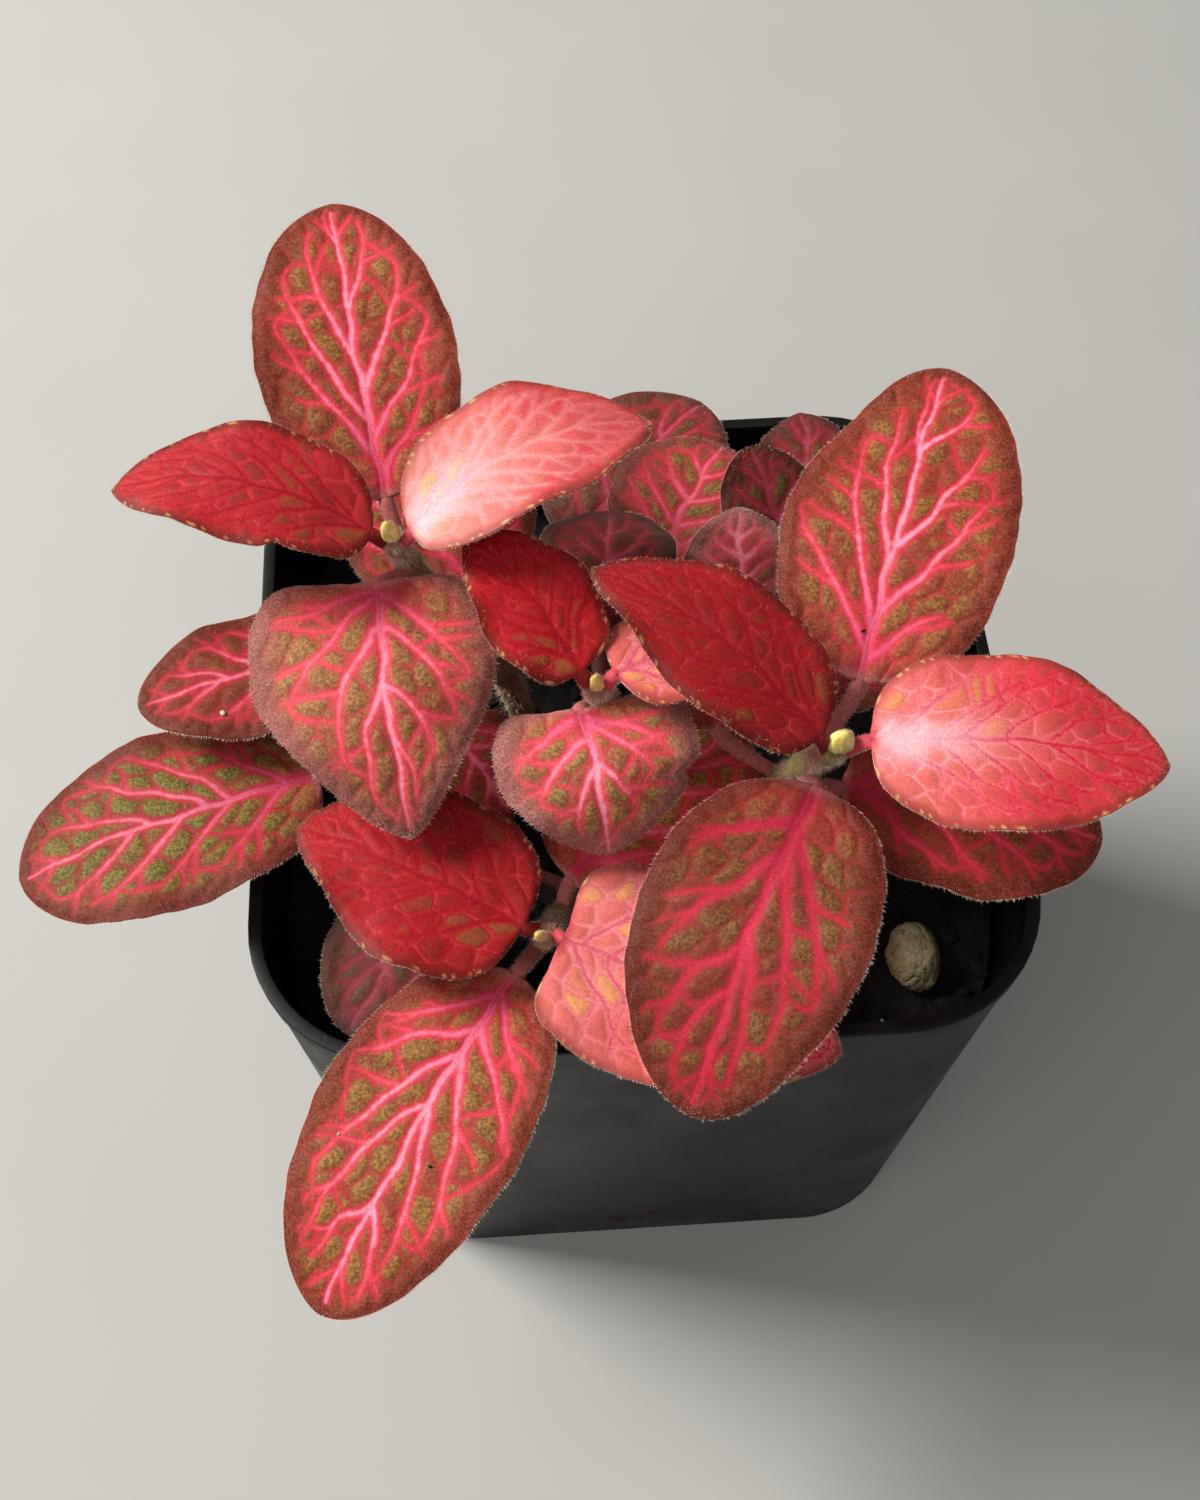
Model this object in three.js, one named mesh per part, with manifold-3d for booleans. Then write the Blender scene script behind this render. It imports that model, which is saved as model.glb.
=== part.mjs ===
// A nerve plant with red leaves, in a square black nursery pot.
// Millimetres, +Z up. The origin is the centre of the pot's flat base; -Y is the front.
import * as THREE from 'three';
import { mergeVertices } from 'three/addons/utils/BufferGeometryUtils.js';
import Module from 'manifold-3d';

const wasm = await Module();
wasm.setup();

// ---------- driving dimensions ----------
const CLEARANCE = 0.3;            // air left where two pieces touch

const POT_HEIGHT = 80;
const RIM_WIDTH = 89;             // across the flats, at the rim
const BASE_WIDTH = 76.4;          // across the flats, at the base
const RIM_CORNER = 17.7;          // corner radius at the rim
const BASE_CORNER = 15.1;         // corner radius at the base
const POT_WALL = 1.2;
const POT_FLOOR = 1.6;
const LIP_HEIGHT = 3;             // the thicker band round the rim
const LIP_STEP = 0.35;            // how far the band stands out of the wall
const CORNER_STEPS = 6;
const DRAIN_RADIUS = 4.5;
const DRAIN_OFFSET = 21;          // drain holes from the middle, along X and along Y
const DRAIN_SIDES = 16;

const MIX_LEVEL = 66;             // potting mix, 14 mm below the rim
const MIX_BUMP = 0.7;             // height of its unevenness
const MIX_RINGS = 6;
const MIX_SIDE_GAP = 0.33;        // from the pot's wall, which slopes
const HOLE_DEPTH = 16;            // each stem stands this deep in the mix
const HOLE_SIDES = 10;

const STONE_SIZE = [6.4, 8.2, 5.6];
const STONE_PLACE = [31.5, -30];
const STONE_DETAIL = 3;           // subdivisions of its icosahedron
const STONE_EASE = 0.08;          // more room under it, because the mix isn't quite level
const STONE_DENT = 0.085;         // how deep its dents are, as a share of its radius
const STONE_FLAT = 0.75;          // its underside is cut flat this share of a radius below the middle
const STONE_BED = 6.5;            // the mix is level this far round the stone's middle
const STONE_BED_EDGE = 9.6;       // and has its full unevenness from here on

const FOOT_TOP = MIX_LEVEL + 2;   // every stem is upright up to here
const STEM_FOOT_RADIUS = 1.7;
const STEM_TOP_RADIUS = 1.05;
const HOLE_RADIUS = (STEM_FOOT_RADIUS + CLEARANCE) / Math.cos(Math.PI / HOLE_SIDES);
const STEM_SIDES = 8;
const STEM_STEPS = 9;
const STEM_SAMPLES = 400;         // points tried along a stem to find a height on it
const BUD_LENGTH = 3.4;
const BUD_RADIUS = 0.95;
const BUD_SIDES = 8;
const BUD_GAP = 0.55;             // from the middle of the stem's end, which may lean
// A bud's profile from its foot to its point, as shares of its radius and length.
const BUD_PROFILE = [[0, 0], [0.6, 0], [0.95, 0.25], [1, 0.45], [0.75, 0.75], [0, 1]];

const BLADE_THICKNESS = 0.7;
const PETIOLE_WIDTH = 1.7;
const PETIOLE_THICKNESS = 1.3;
const TIP_WIDTH = 0.8;            // the blunt end of the drip tip
const PETIOLE_ROWS = 3;
const PETIOLE_EASE = 0.2;         // more room at the stem, because its surface curves
const PETIOLE_PULL = 0.8;         // how straight the stalk leaves the stem and enters the blade
const PETIOLE_BLEND = 0.12;       // share of the blade over which the stalk's thickness fades
const WAVE_HEIGHT = 0.5;          // how far the waved edge swings up and down
const WAVES = 2.5;                // waves along each edge
const WAVE_SHIFT = 2.1;           // the right edge's waves run this far ahead of the left's, in radians
const WAVE_STEP = 1.7;            // and each leaf's waves this far ahead of the leaf before it
const ROW_EVENNESS = 0.35;        // 1 spaces the blade's rows evenly, 0 crowds them to its two ends
const SLIM_START = 0.4;           // where a half that slims towards the tip begins to do so
const SLIM_END = 0.85;            // and where it has its full slimness

// How each kind of blade narrows from its widest place to its base and its tip.
// An edge is a quarter of a superellipse: (1 - u^power)^(1/root), u = 0 at the widest place.
const KINDS = {
  mature: { widest: 0.50, base: [2.3, 2.2], tip: [2.1, 1.75], lobe: 0.08 },
  heart: { widest: 0.42, base: [2.6, 2.6], tip: [1.4, 1.4], lobe: 0.26 },
  young: { widest: 0.47, base: [2.1, 1.9], tip: [1.9, 1.35], lobe: 0.26 },
};

// Rows along the blade and cells across it, for leaves in view and for hidden ones.
const FINE = { rows: 9, cells: 6 };
const PLAIN = { rows: 7, cells: 4 };

// Each stem's centre line: it leaves the mix upright and ends under its growing tip.
const STEMS = {
  left: [[-13, 8, FOOT_TOP], [-15.5, 9, 77], [-20, 8, 90], [-24, 5, 102.5], [-25.2, 2.2, 110.5]],
  right: [[17.5, -11, FOOT_TOP], [17.3, -13, 77], [15.8, -17.5, 89], [17.2, -22, 100], [19.3, -23.9, 105.6]],
  front: [[-5, -19, FOOT_TOP], [-6.5, -22.5, 74], [-9.8, -29, 81.5], [-11.6, -34.2, 87.4]],
  middle: [[-3, 3, FOOT_TOP], [-3, 1, 77], [-3.3, -4, 88], [-4.1, -10.6, 98], [-4.4, -12.8, 102.4]],
  back: [[9, 9, FOOT_TOP], [9.8, 9.4, 74], [11.6, 9, 83], [12.8, 7.6, 89.5]],
  low: [[-16, -6, FOOT_TOP], [-20, -7.6, 75], [-24.5, -9, 81], [-27, -9.8, 85]],
};

// Each leaf: its stem, the height where its stalk leaves the stem, and the blade's base, tip and width.
// bow lifts the midrib between base and tip, as a share of the length; side bends it to the left, in mm.
// skew makes the left half wider and the right one narrower; cup lifts both edges; slim narrows the
// left and the right half towards the tip, each by a share of its width.
const LEAVES = {
  leaf_left_back: { stem: 'left', at: 103.5, base: [-26.3, 11, 107], tip: [-31.2, 43.6, 120],
    width: 22.5, kind: 'mature', bow: 0.06, side: 0.3, cup: 0.05, slim: [0.04, 0.1], mesh: FINE },
  leaf_left_front: { stem: 'left', at: 103.5, base: [-27.2, -0.6, 106.2], tip: [-24.8, -26, 96],
    width: 26, kind: 'heart', bow: 0.16, side: -0.4, skew: -0.1, cup: -0.2, slim: [0.16, 0.12],
    mesh: FINE },
  young_leaf_left_outer: { stem: 'left', at: 109.4, base: [-27.4, 1.9, 112], tip: [-54.5, 8, 114],
    width: 16, kind: 'young', bow: 0.13, side: -1.2, cup: 0.05, slim: [0.12, 0], mesh: FINE },
  young_leaf_left_inner: { stem: 'left', at: 109.4, base: [-23, 1.6, 112], tip: [3, 12.5, 115],
    width: 17, kind: 'young', bow: 0.15, side: 1.2, cup: 0.05, mesh: FINE },
  low_leaf_left_outer: { stem: 'left', at: 85, base: [-28, 3, 89], tip: [-55.5, -5, 92],
    width: 17, kind: 'mature', bow: 0.06, mesh: FINE },
  low_leaf_left_inner: { stem: 'left', at: 85, base: [-18.5, 12.5, 88.5], tip: [-17, 31, 92],
    width: 16, kind: 'mature', bow: 0.08, mesh: PLAIN },
  hidden_leaf_left: { stem: 'left', at: 76, base: [-21, 15, 80], tip: [-33, 36, 83],
    width: 15, kind: 'mature', bow: 0.08, mesh: PLAIN },

  leaf_right_back: { stem: 'right', at: 98.5, base: [23.6, -13.3, 102], tip: [36.4, 19.3, 114],
    width: 25, kind: 'mature', bow: 0.06, side: 0.3, slim: [0.26, 0.04], mesh: FINE },
  leaf_right_front: { stem: 'right', at: 98.5, base: [17.2, -26.4, 102], tip: [2.2, -55.8, 89],
    width: 24, kind: 'mature', bow: 0.12, side: -0.5, slim: [0.14, 0.06], mesh: FINE },
  young_leaf_right_inner: { stem: 'right', at: 104.6, base: [17.3, -24, 108], tip: [-4.4, -4.4, 112],
    width: 16, kind: 'young', bow: 0.09, side: -1, slim: [0.28, 0], mesh: FINE },
  young_leaf_right_outer: { stem: 'right', at: 104.6, base: [22.5, -24.7, 107.8], tip: [52.4, -28.5, 106],
    width: 21.5, kind: 'young', bow: 0.07, slim: [0, 0.13], mesh: FINE },
  low_leaf_right_outer: { stem: 'right', at: 90, base: [21.5, -21.8, 94], tip: [48.6, -28.6, 92],
    width: 21.5, kind: 'mature', bow: 0.04, mesh: FINE },
  low_leaf_right_inner: { stem: 'right', at: 90, base: [9, -12, 92], tip: [5, 6, 90],
    width: 12, kind: 'mature', bow: 0.06, mesh: PLAIN },
  hidden_leaf_right: { stem: 'right', at: 77, base: [23, -1, 80], tip: [38, 13, 84],
    width: 15, kind: 'mature', bow: 0.08, mesh: PLAIN },

  leaf_front_outer: { stem: 'front', at: 81, base: [-14.9, -37.4, 85], tip: [-36.5, -68.8, 74],
    width: 22.5, kind: 'mature', bow: 0.1, slim: [0.08, 0.02], mesh: FINE },
  leaf_front_inner: { stem: 'front', at: 81, base: [-8.2, -24.6, 82], tip: [12.1, -7.1, 85],
    width: 21, kind: 'mature', bow: 0.06, mesh: FINE },
  young_leaf_front_left: { stem: 'front', at: 86.4, base: [-13.7, -34, 89.6], tip: [-37.4, -21, 91],
    width: 21.5, kind: 'young', bow: 0.07, slim: [0.28, 0], mesh: FINE },
  young_leaf_front_right: { stem: 'front', at: 86.4, base: [-9.4, -35.2, 88.4], tip: [19, -47.6, 82.6],
    width: 24, kind: 'heart', bow: 0.03, mesh: FINE },
  low_leaf_front: { stem: 'front', at: 73.5, base: [-20, -20, 79], tip: [-33.6, -39.4, 77],
    width: 17, kind: 'mature', bow: 0.08, mesh: PLAIN },

  leaf_middle_front: { stem: 'middle', at: 96.5, base: [-6.2, -14.2, 100], tip: [-4.2, -27, 92],
    width: 22, kind: 'heart', bow: 0.26, skew: 0.05, cup: -0.15, mesh: FINE },
  leaf_middle_back: { stem: 'middle', at: 96.5, base: [-3.4, -4.4, 98.5], tip: [-1, 16.4, 96],
    width: 16, kind: 'mature', bow: 0.14, mesh: PLAIN },
  young_leaf_middle_left: { stem: 'middle', at: 101.2, base: [-6.2, -12.4, 105], tip: [-17.3, 2, 111],
    width: 13.5, kind: 'young', bow: 0.08, side: -0.5, slim: [0.16, 0], mesh: FINE },
  young_leaf_middle_right: { stem: 'middle', at: 101.2, base: [-2.4, -13, 105], tip: [14.6, -5.2, 101],
    width: 13.5, kind: 'young', bow: 0.06, mesh: FINE },

  leaf_back_far_left: { stem: 'back', at: 77.5, base: [-5, 23.5, 81], tip: [12.4, 42, 86],
    width: 21, kind: 'mature', bow: 0.08, mesh: FINE },
  leaf_back_far_right: { stem: 'back', at: 77.5, base: [25, 23.4, 84], tip: [24.6, 37.6, 88],
    width: 14, kind: 'young', bow: 0.08, mesh: PLAIN },
  leaf_back_left: { stem: 'back', at: 82.5, base: [4.9, 17, 85.5], tip: [14, 31, 90],
    width: 20, kind: 'mature', bow: 0.1, mesh: FINE },
  leaf_back_right: { stem: 'back', at: 82.5, base: [20.2, 10, 88.5], tip: [16.2, 24.5, 97],
    width: 12.5, kind: 'mature', bow: 0.08, mesh: FINE },
  young_leaf_back: { stem: 'back', at: 88.2, base: [13.2, 4.5, 92], tip: [13.5, 13.6, 99],
    width: 13, kind: 'young', bow: 0.08, mesh: FINE },

  low_leaf_far_left: { stem: 'low', at: 84, base: [-36.1, -11.8, 86], tip: [-69.4, -21.3, 83],
    width: 23, kind: 'mature', bow: 0.06, mesh: FINE },
  low_leaf_middle: { stem: 'low', at: 84, base: [-21.5, -6.5, 87.3], tip: [-14.4, -18.3, 86],
    width: 14, kind: 'mature', bow: 0.08, mesh: PLAIN },
};

// ---------- materials ----------
const finish = (color, roughness) => new THREE.MeshStandardMaterial({ color, roughness, metalness: 0 });
const BLACK_PLASTIC = finish(0x17181a, 0.45);
const POTTING_MIX = finish(0x1c130f, 0.95);
const STONE = finish(0xb9ad8c, 0.9);
const STEM_SKIN = finish(0x8a7a4a, 0.7);
const BUD_SKIN = finish(0xd8c768, 0.6);
const MATURE_LEAF = finish(0x8f3a33, 0.6);
const YOUNG_LEAF = finish(0xb9282f, 0.55);

// ---------- helpers ----------
const vec = (p) => new THREE.Vector3(...p);
const clamp = THREE.MathUtils.clamp;
const lerp = THREE.MathUtils.lerp;

function geometryFrom(points, triangles) {
  const geometry = new THREE.BufferGeometry();
  geometry.setAttribute('position', new THREE.Float32BufferAttribute(points.flatMap((p) => p.toArray()), 3));
  geometry.setIndex(triangles.flat());
  return geometry;
}

function toManifold(geometry) {
  const bare = geometry.clone();
  bare.deleteAttribute('normal');
  bare.deleteAttribute('uv');
  const merged = mergeVertices(bare, 1e-5);
  const vertProperties = new Float32Array(merged.attributes.position.array);
  const triVerts = new Uint32Array(merged.index.array);
  return new wasm.Manifold(new wasm.Mesh({ numProp: 3, vertProperties, triVerts }));
}

function fromManifold(solid) {
  const mesh = solid.getMesh();
  const geometry = new THREE.BufferGeometry();
  geometry.setAttribute('position', new THREE.BufferAttribute(mesh.vertProperties, 3));
  geometry.setIndex(new THREE.BufferAttribute(mesh.triVerts, 1));
  return geometry;
}

// One turn of points round a square with rounded corners.
function roundedSquare(width, corner, z) {
  const points = [];
  const middle = width / 2 - corner;
  for (let side = 0; side < 4; side++) {
    const start = (side * Math.PI) / 2;
    const cx = middle * Math.sign(Math.cos(start + Math.PI / 4));
    const cy = middle * Math.sign(Math.sin(start + Math.PI / 4));
    for (let step = 0; step <= CORNER_STEPS; step++) {
      const angle = start + (step / CORNER_STEPS) * (Math.PI / 2);
      points.push(new THREE.Vector3(cx + corner * Math.cos(angle), cy + corner * Math.sin(angle), z));
    }
  }
  return points;
}

// A closed solid through rings of equal count, each end closed by a fan round its middle.
function loft(rings, firstMiddle, lastMiddle) {
  const count = rings[0].length;
  const points = rings.flat();
  const triangles = [];
  for (let ring = 0; ring + 1 < rings.length; ring++) {
    for (let i = 0; i < count; i++) {
      const next = (i + 1) % count;
      const a = ring * count + i;
      const b = ring * count + next;
      const c = a + count;
      const d = b + count;
      triangles.push([a, b, d], [a, d, c]);
    }
  }
  const first = points.push(firstMiddle) - 1;
  const last = points.push(lastMiddle) - 1;
  const lastRing = (rings.length - 1) * count;
  for (let i = 0; i < count; i++) {
    const next = (i + 1) % count;
    triangles.push([first, next, i], [last, lastRing + i, lastRing + next]);
  }
  return geometryFrom(points, triangles);
}

function uprightRod(x, y, bottom, top, radius, sides) {
  const rod = new THREE.CylinderGeometry(radius, radius, top - bottom, sides);
  rod.rotateX(Math.PI / 2);
  rod.translate(x, y, (top + bottom) / 2);
  return rod;
}

// Width and corner radius of the pot's outside, or inset from it, at a height.
function potSection(z, inset) {
  const share = z / POT_HEIGHT;
  const width = BASE_WIDTH + (RIM_WIDTH - 2 * LIP_STEP - BASE_WIDTH) * share - 2 * inset;
  const corner = BASE_CORNER + (RIM_CORNER - LIP_STEP - BASE_CORNER) * share - inset;
  return roundedSquare(width, corner, z);
}

// ---------- pot ----------
function makePot() {
  const lipFoot = POT_HEIGHT - LIP_HEIGHT;
  const shell = loft([
    potSection(0, 0),
    potSection(lipFoot, 0),
    potSection(lipFoot + LIP_STEP, -LIP_STEP),
    potSection(POT_HEIGHT, -LIP_STEP),
    potSection(POT_HEIGHT, POT_WALL),
    potSection(POT_FLOOR, POT_WALL),
  ], vec([0, 0, 0]), vec([0, 0, POT_FLOOR]));
  let pot = toManifold(shell);
  for (const sx of [-1, 1]) {
    for (const sy of [-1, 1]) {
      const [x, y] = [sx * DRAIN_OFFSET, sy * DRAIN_OFFSET];
      const drain = uprightRod(x, y, -1, POT_FLOOR + 1, DRAIN_RADIUS, DRAIN_SIDES);
      pot = pot.subtract(toManifold(drain));
    }
  }
  return fromManifold(pot);
}

// ---------- potting mix ----------
function mixHeight(x, y) {
  const bumps = Math.sin(x * 0.31 + 1.3) * Math.cos(y * 0.27) + 0.6 * Math.sin(x * 0.17 - y * 0.39);
  const fromStone = Math.hypot(x - STONE_PLACE[0], y - STONE_PLACE[1]);
  const level = THREE.MathUtils.smoothstep(fromStone, STONE_BED, STONE_BED_EDGE);
  return MIX_LEVEL + MIX_BUMP * bumps * level;
}

function makePottingMix() {
  const inset = POT_WALL + MIX_SIDE_GAP;
  const rim = potSection(MIX_LEVEL - 1, inset);
  const rings = [potSection(POT_FLOOR + CLEARANCE, inset), rim];
  for (let ring = 1; ring < MIX_RINGS; ring++) {
    const share = 1 - ring / MIX_RINGS;
    rings.push(rim.map((p) => {
      const [x, y] = [p.x * share, p.y * share];
      return new THREE.Vector3(x, y, mixHeight(x, y));
    }));
  }
  const bottom = vec([0, 0, POT_FLOOR + CLEARANCE]);
  const top = vec([0, 0, mixHeight(0, 0)]);
  let mix = toManifold(loft(rings, bottom, top));
  for (const line of Object.values(STEMS)) {
    const [x, y] = line[0];
    const hole = uprightRod(x, y, MIX_LEVEL - HOLE_DEPTH, POT_HEIGHT, HOLE_RADIUS, HOLE_SIDES);
    mix = mix.subtract(toManifold(hole));
  }
  return fromManifold(mix);
}

// ---------- stone ----------
function makeStone() {
  const ball = new THREE.IcosahedronGeometry(1, STONE_DETAIL);
  const geometry = mergeVertices(ball.deleteAttribute('normal').deleteAttribute('uv'));
  const place = geometry.attributes.position;
  const seat = MIX_LEVEL + CLEARANCE + STONE_EASE;
  const rise = STONE_SIZE[2] / (1 + STONE_FLAT);
  for (let i = 0; i < place.count; i++) {
    const p = new THREE.Vector3().fromBufferAttribute(place, i);
    const broad = Math.sin(3.1 * p.x + 1.7) * Math.cos(2.7 * p.y);
    const dent = 1 + STONE_DENT * (broad - Math.sin(4.3 * p.z + p.x));
    const x = STONE_PLACE[0] + (p.x * dent * STONE_SIZE[0]) / 2;
    const y = STONE_PLACE[1] + (p.y * dent * STONE_SIZE[1]) / 2;
    const z = seat + Math.max(0, (p.z * dent + STONE_FLAT) * rise);
    place.setXYZ(i, x, y, z);
  }
  return geometry;
}

// ---------- stems ----------
function stemCurve(name) {
  return new THREE.CatmullRomCurve3(STEMS[name].map(vec), false, 'centripetal');
}

function stemRadius(share) {
  return lerp(STEM_FOOT_RADIUS, STEM_TOP_RADIUS, share);
}

// The point, direction and radius of a stem where it reaches a height.
function stemAtHeight(name, height) {
  const curve = stemCurve(name);
  for (let i = 0; i <= STEM_SAMPLES; i++) {
    const share = i / STEM_SAMPLES;
    const point = curve.getPoint(share);
    if (point.z >= height || i === STEM_SAMPLES) {
      return { point, along: curve.getTangent(share), radius: stemRadius(share) };
    }
  }
}

// One turn of points round a stem, square to its direction.
function stemRing(point, along, radius) {
  const across = vec([0, 1, 0]).cross(along).normalize();
  const forward = along.clone().cross(across).normalize();
  const ring = [];
  for (let side = 0; side < STEM_SIDES; side++) {
    const angle = (side / STEM_SIDES) * 2 * Math.PI;
    ring.push(point.clone().addScaledVector(across, radius * Math.cos(angle))
      .addScaledVector(forward, radius * Math.sin(angle)));
  }
  return ring;
}

function makeStem(name) {
  const curve = stemCurve(name);
  const up = vec([0, 0, 1]);
  const foot = vec(STEMS[name][0]);
  const bottom = new THREE.Vector3(foot.x, foot.y, MIX_LEVEL - HOLE_DEPTH + CLEARANCE);
  const rings = [stemRing(bottom, up, STEM_FOOT_RADIUS), stemRing(foot, up, STEM_FOOT_RADIUS)];
  for (let step = 1; step <= STEM_STEPS; step++) {
    const share = step / STEM_STEPS;
    rings.push(stemRing(curve.getPoint(share), curve.getTangent(share), stemRadius(share)));
  }
  return loft(rings, bottom, curve.getPoint(1));
}

// ---------- growing tips ----------
function makeBud(name) {
  const curve = stemCurve(name);
  const along = curve.getTangent(1).lerp(vec([0, 0, 1]), 0.5).normalize();
  const foot = curve.getPoint(1).addScaledVector(along, BUD_GAP);
  const profile = BUD_PROFILE.map(([r, h]) => new THREE.Vector2(r * BUD_RADIUS, h * BUD_LENGTH));
  const bud = new THREE.LatheGeometry(profile, BUD_SIDES);
  bud.rotateX(Math.PI / 2);
  bud.applyQuaternion(new THREE.Quaternion().setFromUnitVectors(vec([0, 0, 1]), along));
  bud.translate(foot.x, foot.y, foot.z);
  return fromManifold(toManifold(bud));
}

// ---------- leaves ----------
// The blade's width on its left (hand 1) or right (hand -1), at a share of its length.
function halfWidth(leaf, share, hand) {
  const { skew = 0, slim = [0, 0] } = leaf;
  const { widest, base, tip } = KINDS[leaf.kind];
  const towardsBase = share < widest;
  const u = towardsBase ? (widest - share) / widest : (share - widest) / (1 - widest);
  const [power, root] = towardsBase ? base : tip;
  const edge = Math.pow(Math.max(1 - Math.pow(u, power), 0), 1 / root);
  const narrowing = slim[hand > 0 ? 0 : 1] * THREE.MathUtils.smoothstep(share, SLIM_START, SLIM_END);
  const reach = ((edge * leaf.width) / 2) * (1 + skew * hand) * (1 - narrowing);
  return Math.max(reach, lerp(PETIOLE_WIDTH, TIP_WIDTH, share) / 2);
}

// Length, breadth and up directions of the blade, as unit vectors.
function bladeAxes(leaf) {
  const chord = vec(leaf.tip).sub(vec(leaf.base));
  const length = chord.length();
  const forward = chord.normalize();
  const up = vec([0, 0, 1]).addScaledVector(forward, -forward.z).normalize();
  const left = up.clone().cross(forward);
  return { length, forward, left, up };
}

// A point of the blade's middle surface: share 0 to 1 from base to tip, side -1 to 1 from right to left.
function bladePoint(leaf, axes, share, side, phase) {
  const { bow = 0, side: sweep = 0, cup = 0, width, kind } = leaf;
  const reach = side * halfWidth(leaf, share, Math.sign(side));
  const arch = 4 * share * (1 - share);
  const breadth = reach / (width / 2);
  const back = KINDS[kind].lobe * width * breadth * breadth * Math.pow(1 - share, 3);
  const edge = Math.pow(Math.abs(side), 3) * Math.sqrt(Math.sin(Math.PI * clamp(share, 0, 1)));
  const turn = 2 * Math.PI * WAVES * share + phase + (side < 0 ? WAVE_SHIFT : 0);
  const swing = WAVE_HEIGHT * Math.sin(turn) * edge;
  const lift = bow * axes.length * arch + cup * breadth * breadth * (width / 2) + swing;
  return vec(leaf.base)
    .addScaledVector(axes.forward, share * axes.length - back)
    .addScaledVector(axes.left, reach + sweep * arch)
    .addScaledVector(axes.up, lift);
}

// Rows run closer together near the two ends, where the outline turns.
function rowShare(row, rows) {
  const even = row / rows;
  const eased = 0.5 - 0.5 * Math.cos(Math.PI * even);
  return lerp(eased, even, ROW_EVENNESS);
}

// Rows of points from the stem to the tip, with half the thickness at each point. The stalk's rows
// follow a Hermite curve from the stem's surface to the blade's base.
function leafRows(leaf, phase) {
  const axes = bladeAxes(leaf);
  const { rows, cells } = leaf.mesh;
  const sides = Array.from({ length: cells + 1 }, (_, i) => (2 * i) / cells - 1);
  const stem = stemAtHeight(leaf.stem, leaf.at);
  const foot = vec(leaf.base);
  const outward = foot.clone().sub(stem.point);
  outward.addScaledVector(stem.along, -outward.dot(stem.along)).normalize();
  const start = stem.point.clone().addScaledVector(outward, stem.radius + CLEARANCE + PETIOLE_EASE);
  const pull = PETIOLE_PULL * foot.distanceTo(start);
  const rise = 4 * (leaf.bow ?? 0);
  const leaving = axes.forward.clone().addScaledVector(axes.up, rise).normalize();
  const startLeft = stem.along.clone().cross(outward).normalize();
  const result = [];
  for (let row = 0; row < PETIOLE_ROWS; row++) {
    const u = row / PETIOLE_ROWS;
    const arrived = 3 * u ** 2 - 2 * u ** 3;
    const middle = start.clone().lerp(foot, arrived)
      .addScaledVector(outward, u * (1 - u) ** 2 * pull)
      .addScaledVector(leaving, -(u ** 2) * (1 - u) * pull);
    const left = startLeft.clone().lerp(axes.left, u).normalize();
    result.push(sides.map((side) => ({
      point: middle.clone().addScaledVector(left, (side * PETIOLE_WIDTH) / 2),
      half: (PETIOLE_THICKNESS / 2) * Math.sqrt(1 - 0.7 * side * side),
      up: row === 0 ? outward.clone().cross(startLeft) : null,
    })));
  }
  for (let row = 0; row <= rows; row++) {
    const share = rowShare(row, rows);
    const thick = Math.max(0, 1 - share / PETIOLE_BLEND);
    result.push(sides.map((side) => ({
      point: bladePoint(leaf, axes, share, side, phase),
      half: lerp(BLADE_THICKNESS / 2, PETIOLE_THICKNESS / 2, thick * (1 - side * side)),
    })));
  }
  return result;
}

// Direction out of the top face at a grid point, from its neighbours.
function gridNormal(grid, row, column) {
  if (grid[row][column].up) return grid[row][column].up;
  const lastRow = grid.length - 1;
  const lastColumn = grid[0].length - 1;
  const at = (r, c) => grid[clamp(r, 0, lastRow)][clamp(c, 0, lastColumn)].point;
  const along = at(row + 1, column).clone().sub(at(row - 1, column));
  const across = at(row, column + 1).clone().sub(at(row, column - 1));
  return along.cross(across).normalize();
}

function makeLeaf(leaf, index) {
  const grid = leafRows(leaf, index * WAVE_STEP);
  const rows = grid.length;
  const columns = grid[0].length;
  const points = [];
  for (const face of [1, -1]) {
    for (let r = 0; r < rows; r++) {
      for (let c = 0; c < columns; c++) {
        const { point, half } = grid[r][c];
        points.push(point.clone().addScaledVector(gridNormal(grid, r, c), face * half));
      }
    }
  }
  const under = rows * columns;
  const triangles = [];
  for (let r = 0; r + 1 < rows; r++) {
    for (let c = 0; c + 1 < columns; c++) {
      const a = r * columns + c;
      const b = a + 1;
      const d = a + columns;
      const e = d + 1;
      triangles.push([a, d, e], [a, e, b]);
      triangles.push([under + a, under + e, under + d], [under + a, under + b, under + e]);
    }
  }
  const wall = (p, q) => triangles.push([p, under + p, under + q], [p, under + q, q]);
  for (let c = 0; c + 1 < columns; c++) {
    wall(c + 1, c);
    wall((rows - 1) * columns + c, (rows - 1) * columns + c + 1);
  }
  for (let r = 0; r + 1 < rows; r++) {
    wall(r * columns, (r + 1) * columns);
    wall((r + 2) * columns - 1, (r + 1) * columns - 1);
  }
  return geometryFrom(points, triangles);
}

// ---------- the whole plant ----------
const plant = new THREE.Group();

function add(name, geometry, material) {
  const mesh = new THREE.Mesh(geometry, material.clone());
  mesh.name = name;
  plant.add(mesh);
}

add('pot', makePot(), BLACK_PLASTIC);
add('potting_mix', makePottingMix(), POTTING_MIX);
add('pumice_stone', makeStone(), STONE);
for (const name of Object.keys(STEMS)) {
  add(`stem_${name}`, makeStem(name), STEM_SKIN);
  add(`bud_${name}`, makeBud(name), BUD_SKIN);
}
Object.entries(LEAVES).forEach(([name, leaf], index) => {
  add(name, makeLeaf(leaf, index), name.startsWith('young') ? YOUNG_LEAF : MATURE_LEAF);
});

export default plant;
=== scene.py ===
import math
from types import SimpleNamespace as Record

import bpy
import numpy as np
from mathutils import Matrix, Vector, noise


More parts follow.
